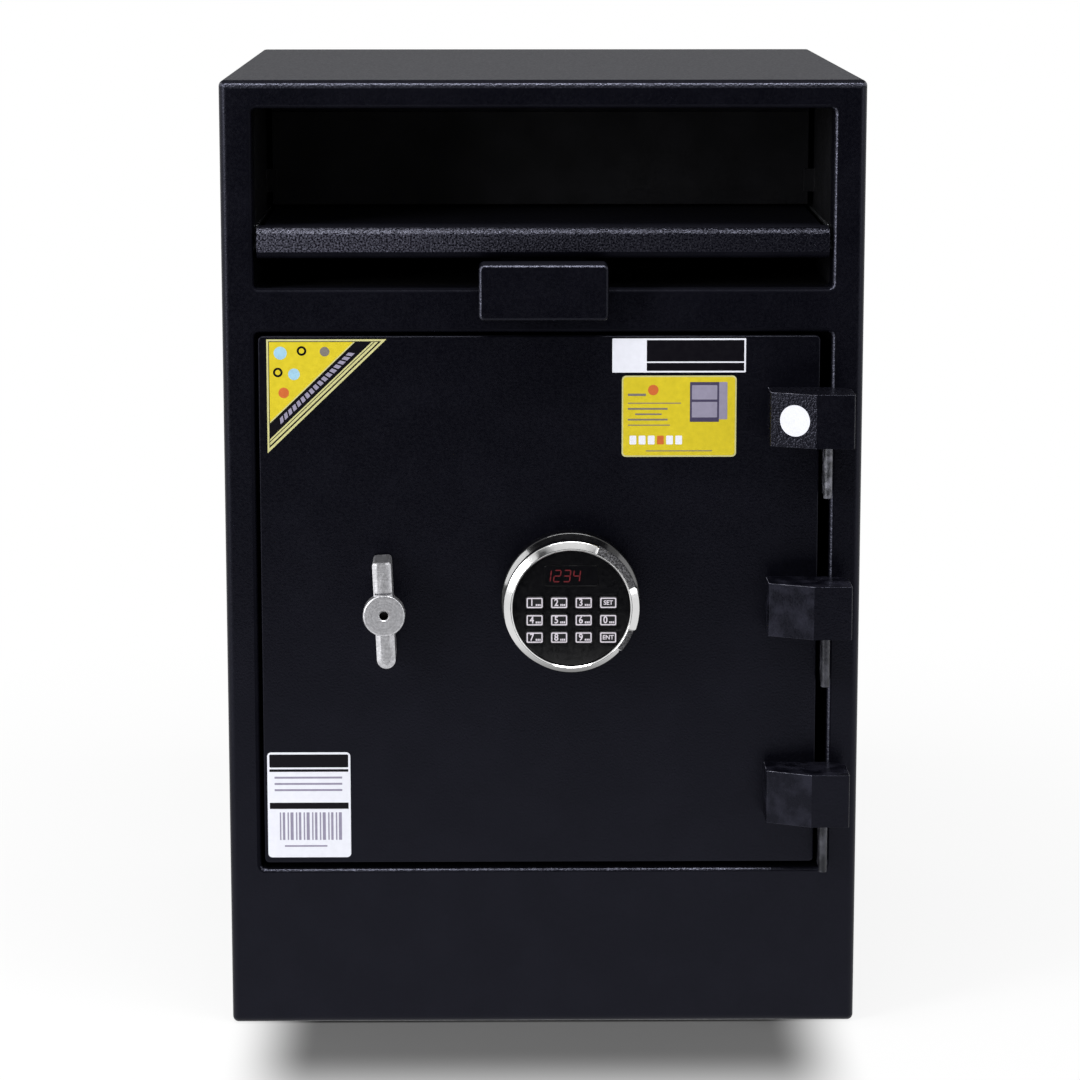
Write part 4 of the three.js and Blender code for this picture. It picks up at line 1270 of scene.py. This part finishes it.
def yellow_sticker():
    """Yellow card with rules for its text, a dark block for its picture and a row of squares."""
    yellow, pale, plum, grey, lilac, white, red = range(7)
    bm = bmesh.new()
    left, right, top, low = CARD_LEFT, CARD_LEFT + CARD_WIDTH, CARD_TOP, CARD_TOP - CARD_HEIGHT
    margin = CARD_MARGIN
    patch(bm, left, right, low, top, LABEL_CORNER, 0, pale)
    patch(bm, left + margin, right - margin, low + margin, top - margin, 2.6, 1, yellow)
    for drop, start, stop, thick in CARD_RULES:
        patch(bm, left + start, left + stop, top - drop - thick, top - drop, RULE_CORNER, 2, grey)
    patch(bm, left + 56.4, left + 80.6, top - 38.7, top - 5.4, 0.6, 2, plum)
    for drop, depth in ((8, 20), (22, 35)):
        patch(bm, left + 58, left + 79, top - depth, top - drop, 0.6, 3, lilac)
    patch(bm, left + 80.6, left + 87.4, top - 36.6, top - 5.4, 0.6, 3, lilac)
    disc(bm, left + 26, top - 12, 4.4, 2, red)
    for step in range(6):
        start = left + 6.5 + step * 7.6
        patch(bm, start, start + 5.6, low + 10.4, low + 17.8, 0.8, 2, red if step == 3 else white)
    make("yellow_sticker", bm, "door",
         [YELLOW, PALE_YELLOW, PLUM_INK, GREY_INK, LILAC_INK, WHITE_PAPER, RED_INK])


def white_sticker():
    """White sticker with black bands, three rules, a row of bars and a rule below it."""
    white, black, lilac = range(3)
    bm = bmesh.new()
    left, low = DOOR_LOW.x + NOTICE_INSET, NOTICE_LOW
    right, top = left + NOTICE_WIDTH, low + NOTICE_HEIGHT
    inner_left, inner_right = left + NOTICE_MARGIN, right - NOTICE_MARGIN
    patch(bm, left, right, low, top, LABEL_CORNER, 0, white)
    patch(bm, inner_left, inner_right, top - 13, top - NOTICE_MARGIN, 1, 1, black)
    for upper, lower in NOTICE_BANDS:
        patch(bm, inner_left, inner_right, top - lower, top - upper, RULE_CORNER, 1, black)
    for step in range(3):
        height = top - 21 - step * 5.4
        patch(bm, left + 6, right - 7, height - 1.7, height, RULE_CORNER, 1, lilac)
    start = left + 10
    for step in range(16):
        wide = BAR_WIDTHS[step % 4]
        patch(bm, start, start + wide, top - 76, top - 52, RULE_CORNER, 1, lilac)
        start += wide + BAR_GAPS[step % 2]
    patch(bm, left + 14, right - 20, top - 82, top - 80.6, RULE_CORNER, 1, lilac)
    make("white_sticker", bm, "door", [WHITE_PAPER, BLACK_INK, LILAC_INK])


ROUND_RADIUS = 13
ROUND_STEPS = 64
ROUND_THICK = 0.2
ROUND_PLACE = 0.53


def round_sticker():
    """Plain white dot on the sloping face of the upper hinge cap, placed by a share of its length."""
    low, high = span("hinge_cap_upper")
    tip = Vector((low.x, FRONT - CAP_TIP_THICK, (low.z + high.z) / 2))
    edge = Vector((hinge_axis("upper") - CAP_FOLD, low.y, tip.z))
    along = (edge - tip).normalized()
    out = Vector((along.y, -along.x, 0))
    centre = tip.lerp(edge, ROUND_PLACE)
    up = Vector((0, 0, 1))
    angles = [math.tau * step / ROUND_STEPS for step in range(ROUND_STEPS)]
    ring = [ROUND_RADIUS * (along * math.cos(a) + up * math.sin(a)) for a in angles]
    loops = [[centre + point + out * rise for point in ring] for rise in (0, ROUND_THICK)]
    make("round_sticker", body_of_loops(loops), "door", WHITE_PAPER)


corner_sticker()
name_plate()
yellow_sticker()
white_sticker()
round_sticker()


# CAD nodes that keep their shape, with softened edges and a finish

CAD_BEVEL = 0.4
FINE_BEVEL = 0.1
CAD_BEVEL_STEPS = 2
CAD_SHARP_ANGLE = 40
WELD_DISTANCE = 0.01
FINE_NODES = ("keypad_face", "keypad_display")
SLOT_FINISH = {
    "powder_black": POWDER, "satin_black": SATIN, "insulation": INSULATION, "galvanised": ZINC,
    "steel": STEEL, "chrome": CHROME, "satin_zinc": CASTING, "gloss_black": GLOSS, "display_red": WINDOW,
    "key_plastic": KEY,
}


def dress(name, material, bevel):
    piece = frame["nodes"][name]
    piece.data.materials.clear()
    piece.data.materials.append(material)
    piece.modifiers.new("joined", "WELD").merge_threshold = WELD_DISTANCE * MM
    bevelled(piece, bevel, CAD_BEVEL_STEPS, CAD_SHARP_ANGLE)
    smooth(piece, CAD_SHARP_ANGLE)


for subpart in frame["record"]["subparts"]:
    node = subpart["node"]
    if not frame["nodes"][node].hide_render:
        dress(node, SLOT_FINISH[subpart["material_slot"]], FINE_BEVEL if node in FINE_NODES else CAD_BEVEL)


# Floor, world and lights, with sizes in metres

WHITE = (1, 1, 1, 1)
WORLD_LIGHT = 0.5
FLOOR_SIZE = 16
FLOOR_CELLS = 8
FLOOR_DROP = 0.0004
FLOOR_WHITE = 0.9
FLOOR_GLOW_NEAR = 0.85
FADE_START = 0.5
FADE_END = 1.4

# Where the contact shade is full and where it ends, from the middle of the front
SHADE_HALF_WIDTH = (0.19, 0.268)
SHADE_REACH = (0.07, 0.27)

SCREEN_PLACE = -1.5
SCREEN_HALF = 1.2
SCREEN_FOOT = 0.05
SCREEN_TOP = 2.1
SCREEN_BLACK = (0.004, 0.004, 0.006, 1)

# Name, place, width, height and power in watts of each softbox, all turned to one point
SOFTBOXES = (
    ("left_light", (-2.2, -1.9, 1.25), 0.9, 1.6, 50),
    ("right_light", (2.4, -1.6, 1.1), 0.8, 1.4, 7),
    ("top_light", (0, -0.9, 2.7), 1.8, 0.5, 40),
)
LIT_POINT = (0, 0, 0.42)


def smooth_ramp(tree, value, start, end, low, high):
    """A value of start to end eased to low to high."""
    inputs = {"Value": value, "From Min": start, "From Max": end, "To Min": low, "To Max": high}
    return add_node(tree, "ShaderNodeMapRange", inputs, interpolation_type="SMOOTHSTEP").outputs[0]


def seen_directly(tree):
    """1 for camera, glossy and transmission rays, and 0 for the rays that light the object."""
    rays = add_node(tree, "ShaderNodeLightPath").outputs
    seen = rays["Is Camera Ray"]
    for ray in ("Is Glossy Ray", "Is Transmission Ray"):
        seen = add_math(tree, "MAXIMUM", seen, rays[ray])
    return seen


def surface_mix(tree, share, first, second, output):
    """Ends a node tree with two shaders mixed by a share."""
    inputs = {0: share, 1: first.outputs[0], 2: second.outputs[0]}
    mixed = add_node(tree, "ShaderNodeMixShader", inputs).outputs[0]
    tree.links.new(mixed, tree.nodes[output].inputs["Surface"])


def studio_world():
    """White all round for the camera and reflections, and dimmer where it lights the object."""
    world = bpy.data.worlds.new("studio")
    world.use_nodes = True
    tree = world.node_tree
    lighting = tree.nodes["Background"]
    lighting.inputs["Color"].default_value = WHITE
    lighting.inputs["Strength"].default_value = WORLD_LIGHT
    white = add_node(tree, "ShaderNodeBackground", {"Color": WHITE, "Strength": 1})
    surface_mix(tree, seen_directly(tree), lighting, white, "World Output")
    bpy.context.scene.world = world


def front_shade(tree):
    """Strength of the floor's glow: 1, and down to 0 in the soft contact shade before the safe's front."""
    place = add_node(tree, "ShaderNodeTexCoord").outputs["Object"]
    axes = add_node(tree, "ShaderNodeSeparateXYZ", {0: place}).outputs
    shade = add_node(tree, "ShaderNodeLightPath").outputs["Is Camera Ray"]
    for axis, centre, (full, none) in (("X", 0, SHADE_HALF_WIDTH), ("Y", FRONT * MM, SHADE_REACH)):
        away = add_math(tree, "ABSOLUTE", add_math(tree, "SUBTRACT", axes[axis], centre))
        shade = add_math(tree, "MULTIPLY", shade, smooth_ramp(tree, away, full, none, 1, 0))
    return add_math(tree, "SUBTRACT", 1, shade)


def floor():
    """White floor that glows for the camera and reflections, fully so away from the safe."""
    material = bpy.data.materials.new("floor_white")
    material.use_nodes = True
    tree = material.node_tree
    tree.nodes.remove(tree.nodes["Principled BSDF"])
    matte = add_node(tree, "ShaderNodeBsdfDiffuse", {"Color": (FLOOR_WHITE, FLOOR_WHITE, FLOOR_WHITE, 1)})
    glow = add_node(tree, "ShaderNodeEmission", {"Strength": front_shade(tree)})
    place = add_node(tree, "ShaderNodeTexCoord").outputs["Object"]
    distance = add_node(tree, "ShaderNodeVectorMath", {0: place}, operation="LENGTH").outputs["Value"]
    fade = smooth_ramp(tree, distance, FADE_START, FADE_END, FLOOR_GLOW_NEAR, 1)
    share = add_math(tree, "MULTIPLY", fade, seen_directly(tree))
    surface_mix(tree, share, matte, glow, "Material Output")
    bm = bmesh.new()
    bmesh.ops.create_grid(bm, x_segments=FLOOR_CELLS, y_segments=FLOOR_CELLS, size=FLOOR_SIZE / 2)
    plane = as_object(bm, "floor")
    plane.location.z = -FLOOR_DROP
    plane.data.materials.append(material)


def dark_card():
    """A black card in front of the safe that only reflections see, as photographers use for black gloss."""
    black = bpy.data.materials.new("card_black")
    black.use_nodes = True
    shader = black.node_tree.nodes["Principled BSDF"]
    shader.inputs["Base Color"].default_value = SCREEN_BLACK
    shader.inputs["Roughness"].default_value = 1
    corners = ((-SCREEN_HALF, SCREEN_FOOT), (SCREEN_HALF, SCREEN_FOOT), (SCREEN_HALF, SCREEN_TOP),
               (-SCREEN_HALF, SCREEN_TOP))
    bm = bmesh.new()
    bm.faces.new([bm.verts.new((x, SCREEN_PLACE, z)) for x, z in corners])
    card = as_object(bm, "dark_card")
    card.data.materials.append(black)
    card.visible_camera = False
    card.visible_diffuse = False
    card.visible_transmission = False
    card.visible_shadow = False


def softbox(name, place, wide, tall, power):
    light = bpy.data.lights.new(name, "AREA")
    light.shape = "RECTANGLE"
    light.size = wide
    light.size_y = tall
    light.energy = power
    lamp = bpy.data.objects.new(name, light)
    lamp.location = place
    lamp.rotation_euler = (Vector(LIT_POINT) - Vector(place)).to_track_quat("-Z", "Y").to_euler()
    bpy.context.scene.collection.objects.link(lamp)


studio_world()
floor()
dark_card()
for settings in SOFTBOXES:
    softbox(*settings)


# Camera at the photograph's viewing angle

CAMERA_DISTANCE = 2900
CAMERA_ACROSS = -36.0
CAMERA_HEIGHT = 959.1
CAMERA_PITCH = 10.033
CAMERA_YAW = 0.657
PHOTO_SIZE = 1080
FOCAL_PIXELS = 3539.3
SHIFT_PIXELS = -32
SENSOR = 36


def camera():
    data = bpy.data.cameras.new("camera")
    data.sensor_width = SENSOR
    data.lens = FOCAL_PIXELS / PHOTO_SIZE * SENSOR
    data.shift_y = SHIFT_PIXELS / PHOTO_SIZE
    eye = bpy.data.objects.new("camera", data)
    eye.location = Vector((CAMERA_ACROSS, FRONT - CAMERA_DISTANCE, CAMERA_HEIGHT)) * MM
    eye.rotation_euler = (math.radians(90 - CAMERA_PITCH), 0, math.radians(-CAMERA_YAW))
    bpy.context.scene.collection.objects.link(eye)
    bpy.context.scene.camera = eye


camera()
bpy.context.scene.view_settings.view_transform = "Standard"
